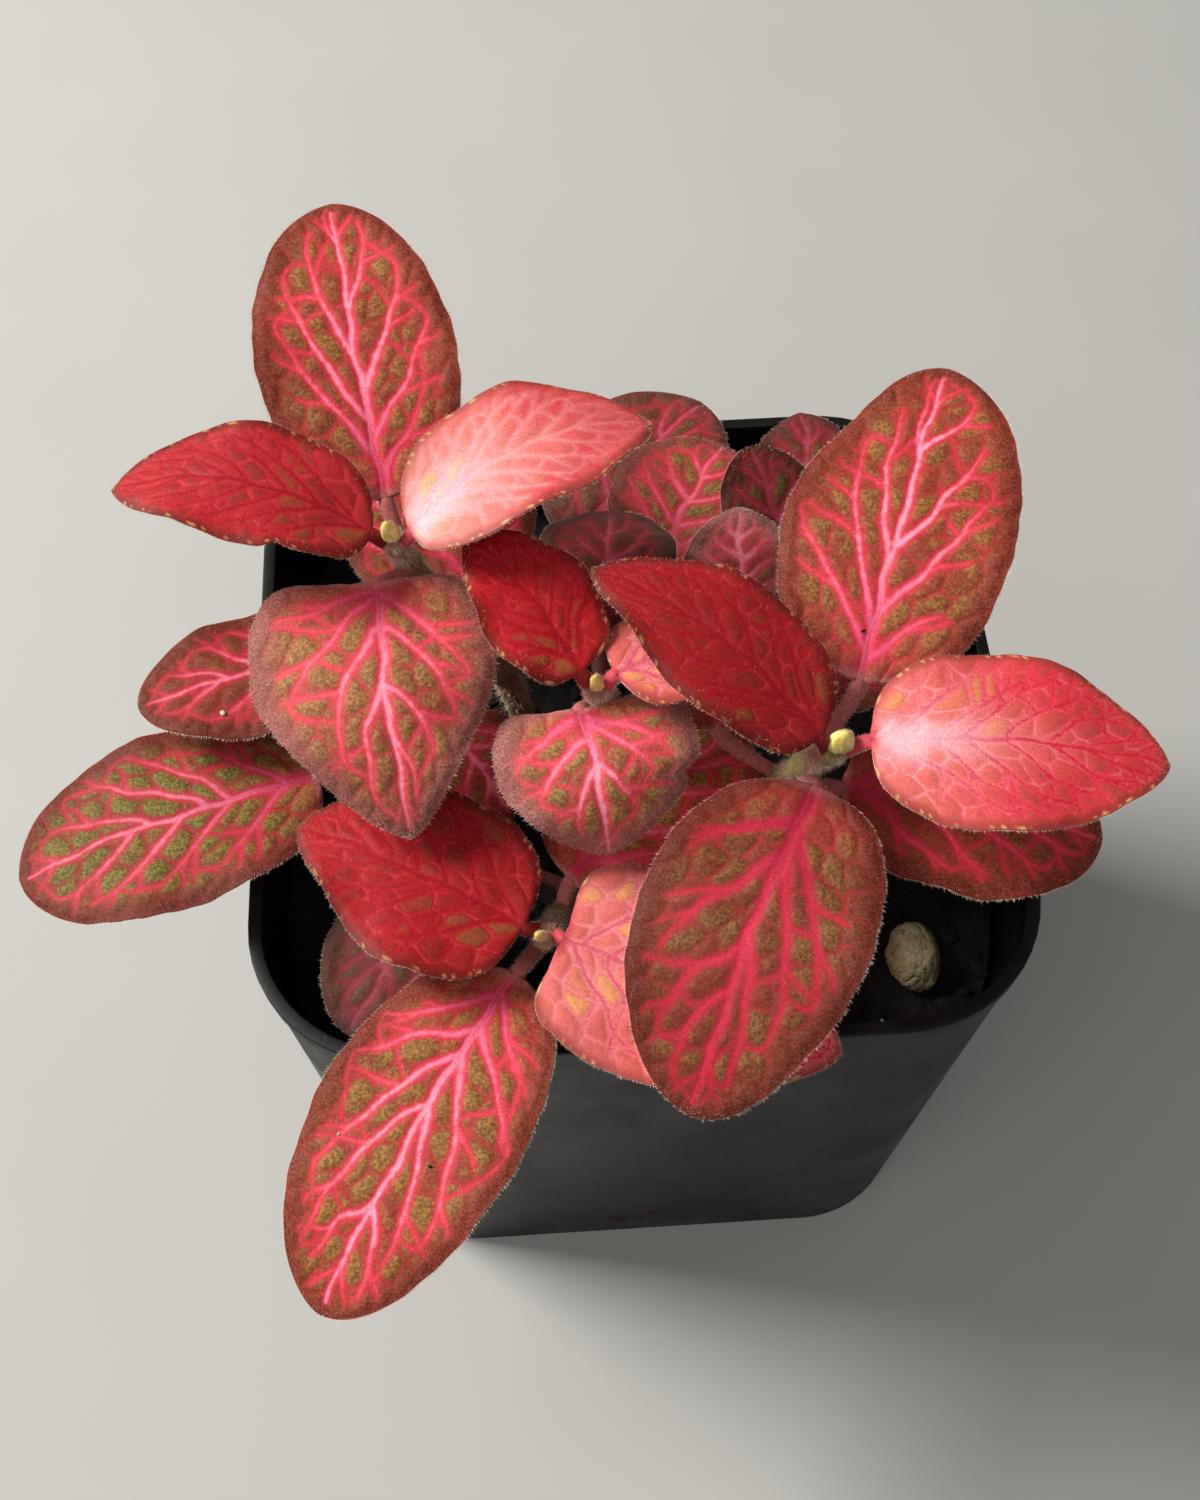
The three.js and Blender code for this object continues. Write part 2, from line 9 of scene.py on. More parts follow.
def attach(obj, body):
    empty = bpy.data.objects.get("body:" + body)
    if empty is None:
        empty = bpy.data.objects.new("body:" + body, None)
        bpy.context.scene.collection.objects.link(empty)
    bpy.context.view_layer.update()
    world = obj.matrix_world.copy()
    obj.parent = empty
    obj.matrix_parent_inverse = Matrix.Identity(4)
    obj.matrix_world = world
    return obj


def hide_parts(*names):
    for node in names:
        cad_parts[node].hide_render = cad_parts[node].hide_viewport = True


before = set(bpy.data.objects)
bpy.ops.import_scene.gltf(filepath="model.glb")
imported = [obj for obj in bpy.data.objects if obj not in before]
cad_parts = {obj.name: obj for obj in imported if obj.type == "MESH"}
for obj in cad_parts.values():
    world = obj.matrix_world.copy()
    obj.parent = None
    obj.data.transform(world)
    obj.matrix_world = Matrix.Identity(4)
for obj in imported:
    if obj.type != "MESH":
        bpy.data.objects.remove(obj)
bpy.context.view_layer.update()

# A nerve plant with red leaves, in a square black nursery pot. Blender works in metres; the tables
# below are in millimetres, as the plant was measured, and MM turns them into metres.
MM = 0.001
SEED = 20

# ---------- pot, mix and stone ----------
POT_HEIGHT = 80
RIM_WIDTH = 89
BASE_WIDTH = 76.4
RIM_CORNER = 17.7
BASE_CORNER = 15.1
FRONT_WALL = -38.9                # y of the front wall near its foot
POT_WALL = 1.2
POT_FLOOR = 1.6
LIP_HEIGHT = 3
LIP_STEP = 0.35
DRAIN_RADIUS = 4.5
DRAIN_OFFSET = 21
MIX_LEVEL = 66
MUD_SPOTS = [(-3.4, 6.4, 2.0), (-0.6, 6.8, 1.3), (1.7, 8.6, 2.2)]    # x, z, radius on the front wall
STONE_PLACE = (31.5, -30)
STONE_SIZE = (6.4, 8.2, 5.6)
CRUMBS = 520                      # bits tried; those by the wall or the stone are left out

# ---------- stems ----------
FOOT_TOP = MIX_LEVEL + 2
FOOT_DEPTH = 10                   # how far a stem reaches into the mix
STEM_FOOT_RADIUS = 1.7
STEM_TOP_RADIUS = 1.05
SWELLING = (0.42, 1.3)            # thickness and reach of the swelling where leaves leave a stem
STEM_HAIRS = 85                   # for each mm of its height
STEMS = {
    "left": [(-13, 8, FOOT_TOP), (-15.5, 9, 77), (-20, 8, 90), (-24, 5, 102.5), (-25.2, 2.2, 110.5)],
    "right": [(17.5, -11, FOOT_TOP), (17.3, -13, 77), (15.8, -17.5, 89), (17.2, -22, 100),
        (19.3, -23.9, 105.6)],
    "front": [(-5, -19, FOOT_TOP), (-6.5, -22.5, 74), (-9.8, -29, 81.5), (-11.6, -34.2, 87.4)],
    "middle": [(-3, 3, FOOT_TOP), (-3, 1, 77), (-3.3, -4, 88), (-4.1, -10.6, 98), (-4.4, -12.8, 102.4)],
    "back": [(9, 9, FOOT_TOP), (9.8, 9.4, 74), (11.6, 9, 83), (12.8, 7.6, 89.5)],
    "low": [(-16, -6, FOOT_TOP), (-20, -7.6, 75), (-24.5, -9, 81), (-27, -9.8, 85)],
}
BUD_LENGTH = 3.4
BUD_RADIUS = 0.95
BUD_GIRTH = {"left": 1, "right": 1.35, "front": 0.75, "middle": 0.8, "back": 1, "low": 1}
BUD_SINK = 0.05                   # how far a bud starts below its stem's end
BUD_HAIRS = 160

# ---------- leaves ----------
SPACING = {False: 0.27, True: 0.5}    # of a blade's grid; the second is for plain leaves
STALK_ROWS = 14
HAIRLESS_ROWS = 5                 # next to the stem
PETIOLE_WIDTH = 1.7
PETIOLE_THICKNESS = 1.3
BLADE_THICKNESS = 0.45
TIP_WIDTH = 0.3
WAVE_HEIGHT = 0.5
WAVES = 2.5
WAVE_SHIFT = 2.1
WAVE_STEP = 1.7
PETIOLE_PULL = 0.8
PETIOLE_BLEND = 0.12
ROW_EVENNESS = 0.35
SLIM_START = 0.4
SLIM_END = 0.85
BLADE_HAIRS = 420
BLADE_SKIN = dict(sheen=0.02, specular=0.15, subsurface=0.12)

# how high the cells between the veins swell, and how deep the midrib lies
RELIEF = {"mature": (0.17, 0.14), "young": (0.11, 0.10)}

# what a stalk has where a blade has the numbers of blade_pattern
STALK_PATTERN = dict(vein=-0.3, net=3, rib=-0.1, rim=3, along=0, dots=0, wide=0.4, cell=0.5)

# widest place, (power, root) of the edge towards the base and towards the tip, depth of the lobes
KINDS = {
    "mature": (0.50, (2.3, 2.2), (2.1, 1.75), 0.08),
    "heart": (0.42, (2.6, 2.6), (1.4, 1.4), 0.26),
    "young": (0.47, (2.1, 1.9), (1.9, 1.35), 0.26),
}


def leaf(stem, at, base, tip, width, kind, **more):
    """One leaf: its stem and the height where its stalk leaves it, the blade's base, tip and width."""
    look = "young" if kind == "young" or "pale" in more else "mature"
    usual = dict(look=look, bow=0, side=0, skew=0, cup=0, slim=(0, 0), pale=(0, 0), glow=0, green=0.4,
            tone=1, pink=0.7, haze=0, notch=None, plain=False)
    base, tip = np.array(base, float), np.array(tip, float)
    return Record(stem=stem, at=at, base=base, tip=tip, length=np.linalg.norm(tip - base), width=width,
            kind=kind, **(usual | more))


# bow arches a blade, side bends it to the left, skew widens its left half, cup lifts its edges, and
# slim narrows its left and right half towards the tip. pale is how coral a young blade is at its base
# and at its tip, partly its own colour and partly painted light on the blades that face the light;
# glow is a painted highlight, how white its middle is near the base as if lit through;
# green how many of the cells are green; tone how light it all is, partly its own
# tone and mostly painted light and painted shade for how lit or shaded the leaf lies; pink how pale
# the veins of an old blade are; and haze how grey its edge is, a painted sheen of light on
# its edge hairs.
# notch is a dent in the edge: its share, its side and its depth in mm.
# look is the pattern where it isn't that of the kind. plain marks a leaf that others nearly cover.
LEAVES = {
    "leaf_left_back": leaf("left", 103.5, (-26.3, 11, 107), (-31.2, 43.6, 120), 22.5, "mature", bow=0.06,
        side=0.3, cup=0.05, slim=(0.04, 0.1), green=0.5, tone=1.22, pink=0.85),
    "leaf_left_front": leaf("left", 103.5, (-27.2, -0.6, 106.2), (-24.8, -26, 96), 26, "heart", bow=0.16,
        side=-0.4, skew=-0.1, cup=-0.2, slim=(0.16, 0.12), green=0.58, tone=1.36, pink=0.8, haze=0.42),
    "young_leaf_left_outer": leaf("left", 109.4, (-27.4, 1.9, 112), (-54.5, 8, 114), 16, "young", bow=0.13,
        side=-1.2, cup=0.05, slim=(0.12, 0), pale=(0.2, 0.15), green=0.2, tone=1.02, notch=(0.34, 1, 0.7)),
    "young_leaf_left_inner": leaf("left", 109.4, (-23, 1.6, 112), (3, 12.5, 115), 17, "young", bow=0.15,
        side=1.2, cup=0.05, pale=(1, 0.52), glow=0.9, green=0.2),
    "low_leaf_left_outer": leaf("left", 85, (-28, 3, 89), (-55.5, -5, 92), 17, "mature", bow=0.06,
        green=0.15, tone=0.84),
    "low_leaf_left_inner": leaf("left", 85, (-18.5, 12.5, 88.5), (-17, 31, 92), 16, "mature", bow=0.08,
        plain=True),
    "hidden_leaf_left": leaf("left", 76, (-21, 15, 80), (-33, 36, 83), 15, "mature", bow=0.08, plain=True),
    "leaf_right_back": leaf("right", 98.5, (23.6, -13.3, 102), (36.4, 19.3, 114), 25, "mature", bow=0.06,
        side=0.3, slim=(0.26, 0.04), green=0.45, tone=1.18, pink=0.95),
    "leaf_right_front": leaf("right", 98.5, (17.2, -26.4, 102), (2.2, -55.8, 89), 24, "mature", bow=0.12,
        side=-0.5, slim=(0.14, 0.06), green=0.4, tone=0.8, pink=0),
    "young_leaf_right_inner": leaf("right", 104.6, (17.3, -24, 108), (-4.4, -4.4, 112), 16, "young",
        bow=0.09, side=-1, slim=(0.28, 0), green=0.12, tone=0.82),
    "young_leaf_right_outer": leaf("right", 104.6, (22.5, -24.7, 107.8), (52.4, -28.5, 106), 21.5, "young",
        bow=0.07, slim=(0, 0.13), pale=(0.8, 0.48), glow=1, green=0.3, tone=1.06),
    "low_leaf_right_outer": leaf("right", 90, (21.5, -21.8, 94), (48.6, -28.6, 92), 21.5, "mature",
        bow=0.04, green=0.1, tone=1.1, pink=0.2),
    "low_leaf_right_inner": leaf("right", 90, (9, -12, 92), (5, 6, 90), 12, "mature", bow=0.06,
        plain=True),
    "hidden_leaf_right": leaf("right", 77, (23, -1, 80), (38, 13, 84), 15, "mature", bow=0.08, plain=True),
    "leaf_front_outer": leaf("front", 81, (-14.9, -37.4, 85), (-36.5, -68.8, 74), 22.5, "mature", bow=0.1,
        slim=(0.08, 0.02), green=0.6, tone=1.15, pink=0.95),
    "leaf_front_inner": leaf("front", 81, (-8.2, -24.6, 82), (12.1, -7.1, 85), 21, "mature", bow=0.06,
        green=0.6, tone=2.0, pink=0.3),
    "young_leaf_front_left": leaf("front", 86.4, (-13.7, -34, 89.6), (-37.4, -21, 91), 21.5, "young",
        bow=0.07, slim=(0.28, 0), green=0.25, tone=1.05),
    "young_leaf_front_right": leaf("front", 86.4, (-9.4, -35.2, 88.4), (19, -47.6, 82.6), 24, "heart",
        bow=0.03, pale=(0.86, 0.74), green=0.14, tone=1.12),
    "low_leaf_front": leaf("front", 73.5, (-20, -20, 79), (-33.6, -39.4, 77), 17, "mature", bow=0.08,
        green=0.6, tone=0.36, plain=True, haze=0.3, pink=0.4),
    "leaf_middle_front": leaf("middle", 96.5, (-6.2, -14.2, 100), (-4.2, -27, 92), 22, "heart", bow=0.26,
        skew=0.05, cup=-0.15, green=0.75, tone=1.46, notch=(0.55, 1, 1.2), haze=0.6, pink=0.95),
    "leaf_middle_back": leaf("middle", 96.5, (-3.4, -4.4, 98.5), (-1, 16.4, 96), 16, "mature", bow=0.14,
        green=0.1, tone=0.33, plain=True, haze=0.3, pink=0.4),
    "young_leaf_middle_left": leaf("middle", 101.2, (-6.2, -12.4, 105), (-17.3, 2, 111), 13.5, "young",
        bow=0.08, side=-0.5, slim=(0.16, 0), green=0.6, tone=1.3),
    "young_leaf_middle_right": leaf("middle", 101.2, (-2.4, -13, 105), (14.6, -5.2, 101), 13.5, "young",
        bow=0.06, pale=(0.7, 0.6), green=0.9, tone=1.1),
    "leaf_back_far_left": leaf("back", 77.5, (-5, 23.5, 81), (12.4, 42, 86), 21, "mature", bow=0.08,
        green=0.6, tone=0.64, haze=0.3, pink=0.4),
    "leaf_back_far_right": leaf("back", 77.5, (25, 23.4, 84), (24.6, 37.6, 88), 14, "young", bow=0.08,
        tone=0.5, plain=True, look="mature", haze=0.3, pink=0.4, green=0.7),
    "leaf_back_left": leaf("back", 82.5, (4.9, 17, 85.5), (14, 31, 90), 20, "mature", bow=0.1, green=0.7,
        tone=1.12, haze=0.2, pink=0.35),
    "leaf_back_right": leaf("back", 82.5, (20.2, 10, 88.5), (16.2, 24.5, 97), 12.5, "mature", bow=0.08,
        green=0.9, tone=0.32, pink=0.2),
    "young_leaf_back": leaf("back", 88.2, (13.2, 4.5, 92), (13.5, 13.6, 99), 13, "young", bow=0.08,
        green=0, tone=1.05, look="mature", haze=0.7),
    "low_leaf_far_left": leaf("low", 84, (-36.1, -11.8, 86), (-69.4, -21.3, 83), 23, "mature", bow=0.06,
        green=0.95, tone=0.82),
    "low_leaf_middle": leaf("low", 84, (-21.5, -6.5, 87.3), (-14.4, -18.3, 86), 14, "mature", bow=0.08,
        green=0.8, plain=True),
}

# The side veins of the leaves that show best, left half first: where each leaves the midrib, how
# near the edge it ends and how far along it ends, in hundredths of the blade. Other leaves get
# theirs by the rule of vein_lines.
SIDE_VEINS = {
    "leaf_left_back": ([(12, 76, 57), (24, 73, 76), (45, 50, 89), (84, 22, 95)],
        [(5, 56, 26), (17, 78, 53), (33, 68, 74), (60, 50, 92)]),
    "leaf_right_back": ([(7, 88, 46), (15, 64, 70), (34, 42, 81), (68, 20, 90)],
        [(6, 60, 24), (20, 74, 60), (40, 64, 76), (70, 60, 90)]),
    "leaf_left_front": ([(5, 75, 43), (19, 68, 58), (44, 50, 67), (62, 32, 85)],
        [(3, 85, 20), (6, 73, 48), (17, 56, 68), (42, 46, 86)]),
    "leaf_right_front": ([(12, 75, 58), (22, 58, 72), (46, 38, 86), (80, 20, 92)],
        [(10, 82, 28), (22, 72, 60), (50, 66, 78), (64, 48, 87)]),
    "leaf_front_outer": ([(6, 72, 26), (16, 88, 41), (24, 72, 70), (40, 52, 82), (70, 52, 91)],
        [(8, 90, 27), (17, 88, 38), (25, 74, 66), (40, 68, 84), (68, 50, 88)]),
    "low_leaf_far_left": ([(10, 68, 35), (28, 70, 57), (44, 76, 78), (60, 64, 88)],
        [(10, 64, 30), (28, 85, 56), (36, 82, 78), (55, 52, 88)]),
    "leaf_middle_front": ([(3, 72, 40), (9, 55, 52), (36, 42, 72)],
        [(3, 82, 38), (20, 70, 58), (38, 44, 80)]),
}

# The net of veins of each age of leaf. Widths are half widths in mm where a vein starts and ends,
# mesh is how far apart the cells between the veins lie, and round how blunt their corners are.
NETS = {
    "mature": Record(pairs=4, first=0.07, last=0.66, rib=(0.52, 0.20), side=(0.38, 0.11),
        fork=(0.17, 0.07), loop=(0.10, 0.06), mesh=2.4, round=0.9),
    "young": Record(pairs=6, first=0.05, last=0.70, rib=(0.28, 0.13), side=(0.20, 0.10), fork=(0.11, 0.07),
        loop=(0.08, 0.07), mesh=2.1, round=2.0),
}

# Grains that lie on blades: share and side of the blade, size in mm, and whether it is pale.
GRAINS = {
    "leaf_front_outer": [(0.54, 0.32, 0.32, False), (0.587, -0.627, 0.2, True)],
    "leaf_right_back": [(0.133, 0.10, 0.28, False)],
    "low_leaf_left_outer": [(0.70, 0.57, 0.42, True)],
    "leaf_left_front": [(0.40, -0.86, 0.22, True), (0.45, -0.84, 0.16, True)],
}

# ---------- camera ----------
PHOTO_HEIGHT = 1500               # pixels, the photograph's long side
FOCAL = 1858.4                    # pixels
CAMERA_PLACE = (-10.24, -123.47, 265.23)
CAMERA_YAW = -3.13
CAMERA_PITCH = 57.654             # below level
CAMERA_ROLL = -0.558
PLANT_MIDDLE = Vector((0, 0, 0.09))    # in metres; the lamps shine on it


# ---------- helpers ----------
def smooth(value, low, high):
    """0 below low, 1 above high, with a soft turn at both."""
    share = np.clip((value - low) / (high - low), 0, 1)
    return share * share * (3 - 2 * share)


def lerp(a, b, share):
    return a + (b - a) * share


def unit(v):
    v = np.asarray(v, float)
    return v / np.linalg.norm(v, axis=-1, keepdims=True)


def colour(code):
    """A colour as it shows on a screen, RRGGBB, in the linear values that shaders use."""
    shown = [int(code[i:i + 2], 16) / 255 for i in (0, 2, 4)]
    return [c / 12.92 if c <= 0.04045 else ((c + 0.055) / 1.055) ** 2.4 for c in shown] + [1]


def between(a, b, share):
    """A colour between two screen colours."""
    return [lerp(x, y, share) for x, y in zip(colour(a), colour(b))]


def select(*pieces):
    """Select these pieces alone, the first as the active one."""
    if bpy.context.object and bpy.context.object.mode != "OBJECT":
        bpy.ops.object.mode_set(mode="OBJECT")
    bpy.ops.object.select_all(action="DESELECT")
    for piece in reversed(pieces):
        piece.select_set(True)
        bpy.context.view_layer.objects.active = piece


def made(add, **how):
    """The piece that one of Blender's own makers adds."""
    select()
    add(**how)
    return bpy.context.object


def linked(name, data):
    """A new object in the scene, for a mesh, curve, camera or lamp."""
    piece = bpy.data.objects.new(name, data)
    bpy.context.scene.collection.objects.link(piece)
    return piece


def places_of(piece):
    """The piece's vertices in millimetres."""
    flat = np.empty(len(piece.data.vertices) * 3)
    piece.data.vertices.foreach_get("co", flat)
    return flat.reshape(-1, 3) / MM


def move_to(piece, places):
    piece.data.vertices.foreach_set("co", (np.asarray(places, float) * MM).ravel())
    piece.data.update()


def apply_modifiers(piece):
    select(piece)
    for modifier in list(piece.modifiers):
        bpy.ops.object.modifier_apply(modifier=modifier.name)


def join(pieces, name):
    select(*pieces)
    bpy.ops.object.join()
    pieces[0].name = pieces[0].data.name = name
    return pieces[0]


def settle(piece, nodes, edge=60):
    """The last steps for every piece: smooth faces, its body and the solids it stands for."""
    select(piece)
    bpy.ops.object.transform_apply(location=True, rotation=True, scale=True)
    bpy.ops.object.shade_smooth_by_angle(angle=math.radians(edge))
    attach(piece, "root")
    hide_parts(*nodes)


def mesh_piece(name, points, faces):
    """A piece from points in millimetres, for what repeats too often to be copied by hand."""
    data = bpy.data.meshes.new(name)
    data.from_pydata((np.asarray(points) * MM).tolist(), [], faces)
    return linked(name, data)


# ---------- finishes ----------
class Finish:
    """A material, and short names for the shader nodes that it is made of."""

    def __init__(self, name, roughness, sheen=0, specular=0.5, subsurface=0):
        self.material = bpy.data.materials.new(name)
        self.material.use_nodes = True
        self.tree = self.material.node_tree
        self.skin = self.tree.nodes["Principled BSDF"].inputs
        self.skin["Roughness"].default_value = roughness
        self.skin["Specular IOR Level"].default_value = specular
        self.skin["Sheen Weight"].default_value = sheen
        self.skin["Sheen Roughness"].default_value = 0.4
        self.skin["Subsurface Weight"].default_value = subsurface
        self.skin["Subsurface Radius"].default_value = (1, 0.25, 0.15)
        self.skin["Subsurface Scale"].default_value = 1.2 * MM
        self.place = self.node("TexCoord", {})["Object"]
        self.ground = None

    def put(self, socket, value):
        """Give a socket what it needs: another node's result, a screen colour, or numbers."""
        if isinstance(value, bpy.types.NodeSocket):
            self.tree.links.new(value, socket)
        else:
            socket.default_value = colour(value) if isinstance(value, str) else value

    def node(self, kind, given, **settings):
        """The results of a new shader node; given says what goes into which of its sockets."""
        node = self.tree.nodes.new("ShaderNode" + kind)
        for setting, value in settings.items():
            setattr(node, setting, value)
        for socket, value in given.items():
            self.put(node.inputs[socket], value)
        return node.outputs

    def math(self, operation, a, b):
        return self.node("Math", {0: a, 1: b}, operation=operation)[0]

    def value(self, name):
        """A number that the mesh holds at each point."""
        return self.node("Attribute", {}, attribute_name=name)["Fac"]

    def step(self, value, low, high, start=0, end=1):
        given = dict(enumerate((value, low, high, start, end)))
        return self.node("MapRange", given, interpolation_type="SMOOTHSTEP")[0]

    def noise(self, size, detail=2, rough=0.5, stretch=None):
        """Noise whose lumps are about size millimetres across."""
        place = self.place
        if stretch:
            place = self.node("Mapping", {"Vector": place, "Scale": stretch})[0]
        return self.node("TexNoise", {"Vector": place, "Scale": 1 / (size * MM), "Detail": detail,
                "Roughness": rough})["Fac"]

    def away_from(self, *point):
        """How far, in mm, each place is from a point."""
        gap = self.node("VectorMath", {0: self.place, 1: [c * MM for c in point]}, operation="DISTANCE")
        return self.math("DIVIDE", gap["Value"], MM)

    def times(self, *values):
        """The product of several numbers."""
        product = values[0]
        for value in values[1:]:
            product = self.math("MULTIPLY", product, value)
        return product

    def mix(self, share, a, b):
        return self.node("Mix", {"Factor": share, "A": a, "B": b}, data_type="RGBA")["Result"]

    def cover(self, paint, *shares):
        """Lay a paint over the ground, as far as the product of the shares says."""
        self.ground = self.mix(self.times(*shares), self.ground, paint)

    def shade(self, *amounts):
        """Use the ground as the colour, made lighter or darker by numbers round 1, and at most 1."""
        bright = self.node("HueSaturation", {"Color": self.ground, "Value": self.times(*amounts)})
        held = self.node("Mix", {"Factor": 0, "A": bright["Color"]}, data_type="RGBA", clamp_result=True)
        self.put(self.skin["Base Color"], held["Result"])

    def paint(self, paint):
        self.put(self.skin["Base Color"], paint)

    def bump(self, height, depth, strength):
        """Fine relief; depth is its height in millimetres."""
        given = {"Height": height, "Distance": depth * MM, "Strength": strength}
        if self.skin["Normal"].is_linked:
            given["Normal"] = self.skin["Normal"].links[0].from_socket
        self.put(self.skin["Normal"], self.node("Bump", given)[0])


def mature_finish(name, item):
    """Soft brown to olive cells with red borders between pink veins, and a brown edge."""
    f = Finish(name, roughness=0.55, **BLADE_SKIN)
    green, pink, haze = item.green, item.pink, item.haze
    vein, net, rib, rim, along, wide, cell = map(f.value, "vein net rib rim along wide cell".split())
    broad, drift, grain, fleck = f.noise(3.5), f.noise(0.9), f.noise(0.26, 3, 0.7), f.noise(0.38)
    patch = f.noise(1.5)
    ragged = f.math("ADD", f.step(grain, 0.25, 0.75, -0.11, 0.11), f.step(drift, 0.3, 0.7, -0.11, 0.11))
    net = f.math("ADD", net, ragged)
    vein = f.math("ADD", vein, f.times(ragged, 0.8))

    f.ground = f.mix(f.step(broad, 0.35, 0.65), "9c2228", "ac3034")
    f.cover("be2c42", f.step(along, 0, 0.55, 0.75, 0), f.step(rim, 1.5, 5))
    brown = f.mix(f.step(fleck, 0.3, 0.7), "6c2e1e", "843e2a")
    mossy = max(0, green * 2 - 1)
    olive = f.mix(f.step(fleck, 0.35, 0.65), between("684622", "4c561c", mossy),
            between("8e6a38", "7c8836", mossy))
    speckle = f.math("ADD", patch, f.times(cell, 0.35))
    leafy = f.times(f.step(rim, 1, 3.6), f.step(net, 0, 0.6),
            f.step(speckle, 0.70 - green / 2, 1.04 - green / 2, 0, 0.7))
    f.cover(f.mix(leafy, brown, olive), f.step(net, -0.04, 0.30, 0.38, 1), f.step(vein, 0.03, 0.42),
            f.step(cell, 0, 0.3, 0.85, 1), f.step(along, 0, 0.25, 0.6, 1))
    edge = f.mix(f.step(grain, 0.3, 0.7), "501a10", "763628")
    f.cover(edge, f.step(rim, 0.5, 3.4, 0.92, 0), f.step(drift, 0.3, 0.7, 0.75, 1))

    thin = f.step(wide, 0.05, 0.24, 0.3, 1)
    f.cover("b82c3e", f.step(vein, 0, 0.9, 0.75, 0), thin, f.step(rim, 0.3, 2.4))
    outward = f.step(along, 0.05, 0.5)
    inner = f.mix(outward, between("b02440", "c84868", pink), between("d2304e", "e48ca2", pink))
    outer = f.mix(outward, between("aa2038", "c03c58", pink), between("c42c42", "d65668", pink))
    rose = f.mix(f.step(vein, -0.32, 0.08), inner, outer)
    rose = f.mix(f.step(wide, 0.07, 0.26), between("cc2842", "d64a5c", pink), rose)
    f.cover(rose, f.step(vein, -0.16, 0.24, 1, 0), thin)
    f.cover("961c36", f.step(rib, -0.48, -0.24, 0.5, 0), f.step(along, 0.1, 0.55, 1, 0))
    # Painted sheen: a grey glaze towards the edge, standing for light catching the edge hairs at a low
    # angle.
    if haze:
        f.cover("8c6864", f.step(rim, 0.2, 4.2, haze, haze / 4), f.step(grain, 0.3, 0.7, 0.6, 1))
    f.cover(f.mix(fleck, "a04a50", "c07c74"), f.step(along, 0, 0.04, 1, 0))
    # The grain is the blade's own. The leaf's tone multiplier is partly its own tone and mostly painted
    # light and painted shade for how lit or shaded the leaf lies.
    f.shade(f.step(grain, 0.2, 0.8, 0.69, 1.41), item.tone)
    f.bump(grain, 0.10, 0.7)
    return f.material


def blush(pale):
    """The ground of a young blade, from dark crimson (0) through red (0.5) to coral (1)."""
    if pale < 0.5:
        return between("9c1218", "cc363e", pale * 2)
    return between("cc363e", "da8682", pale * 2 - 1)


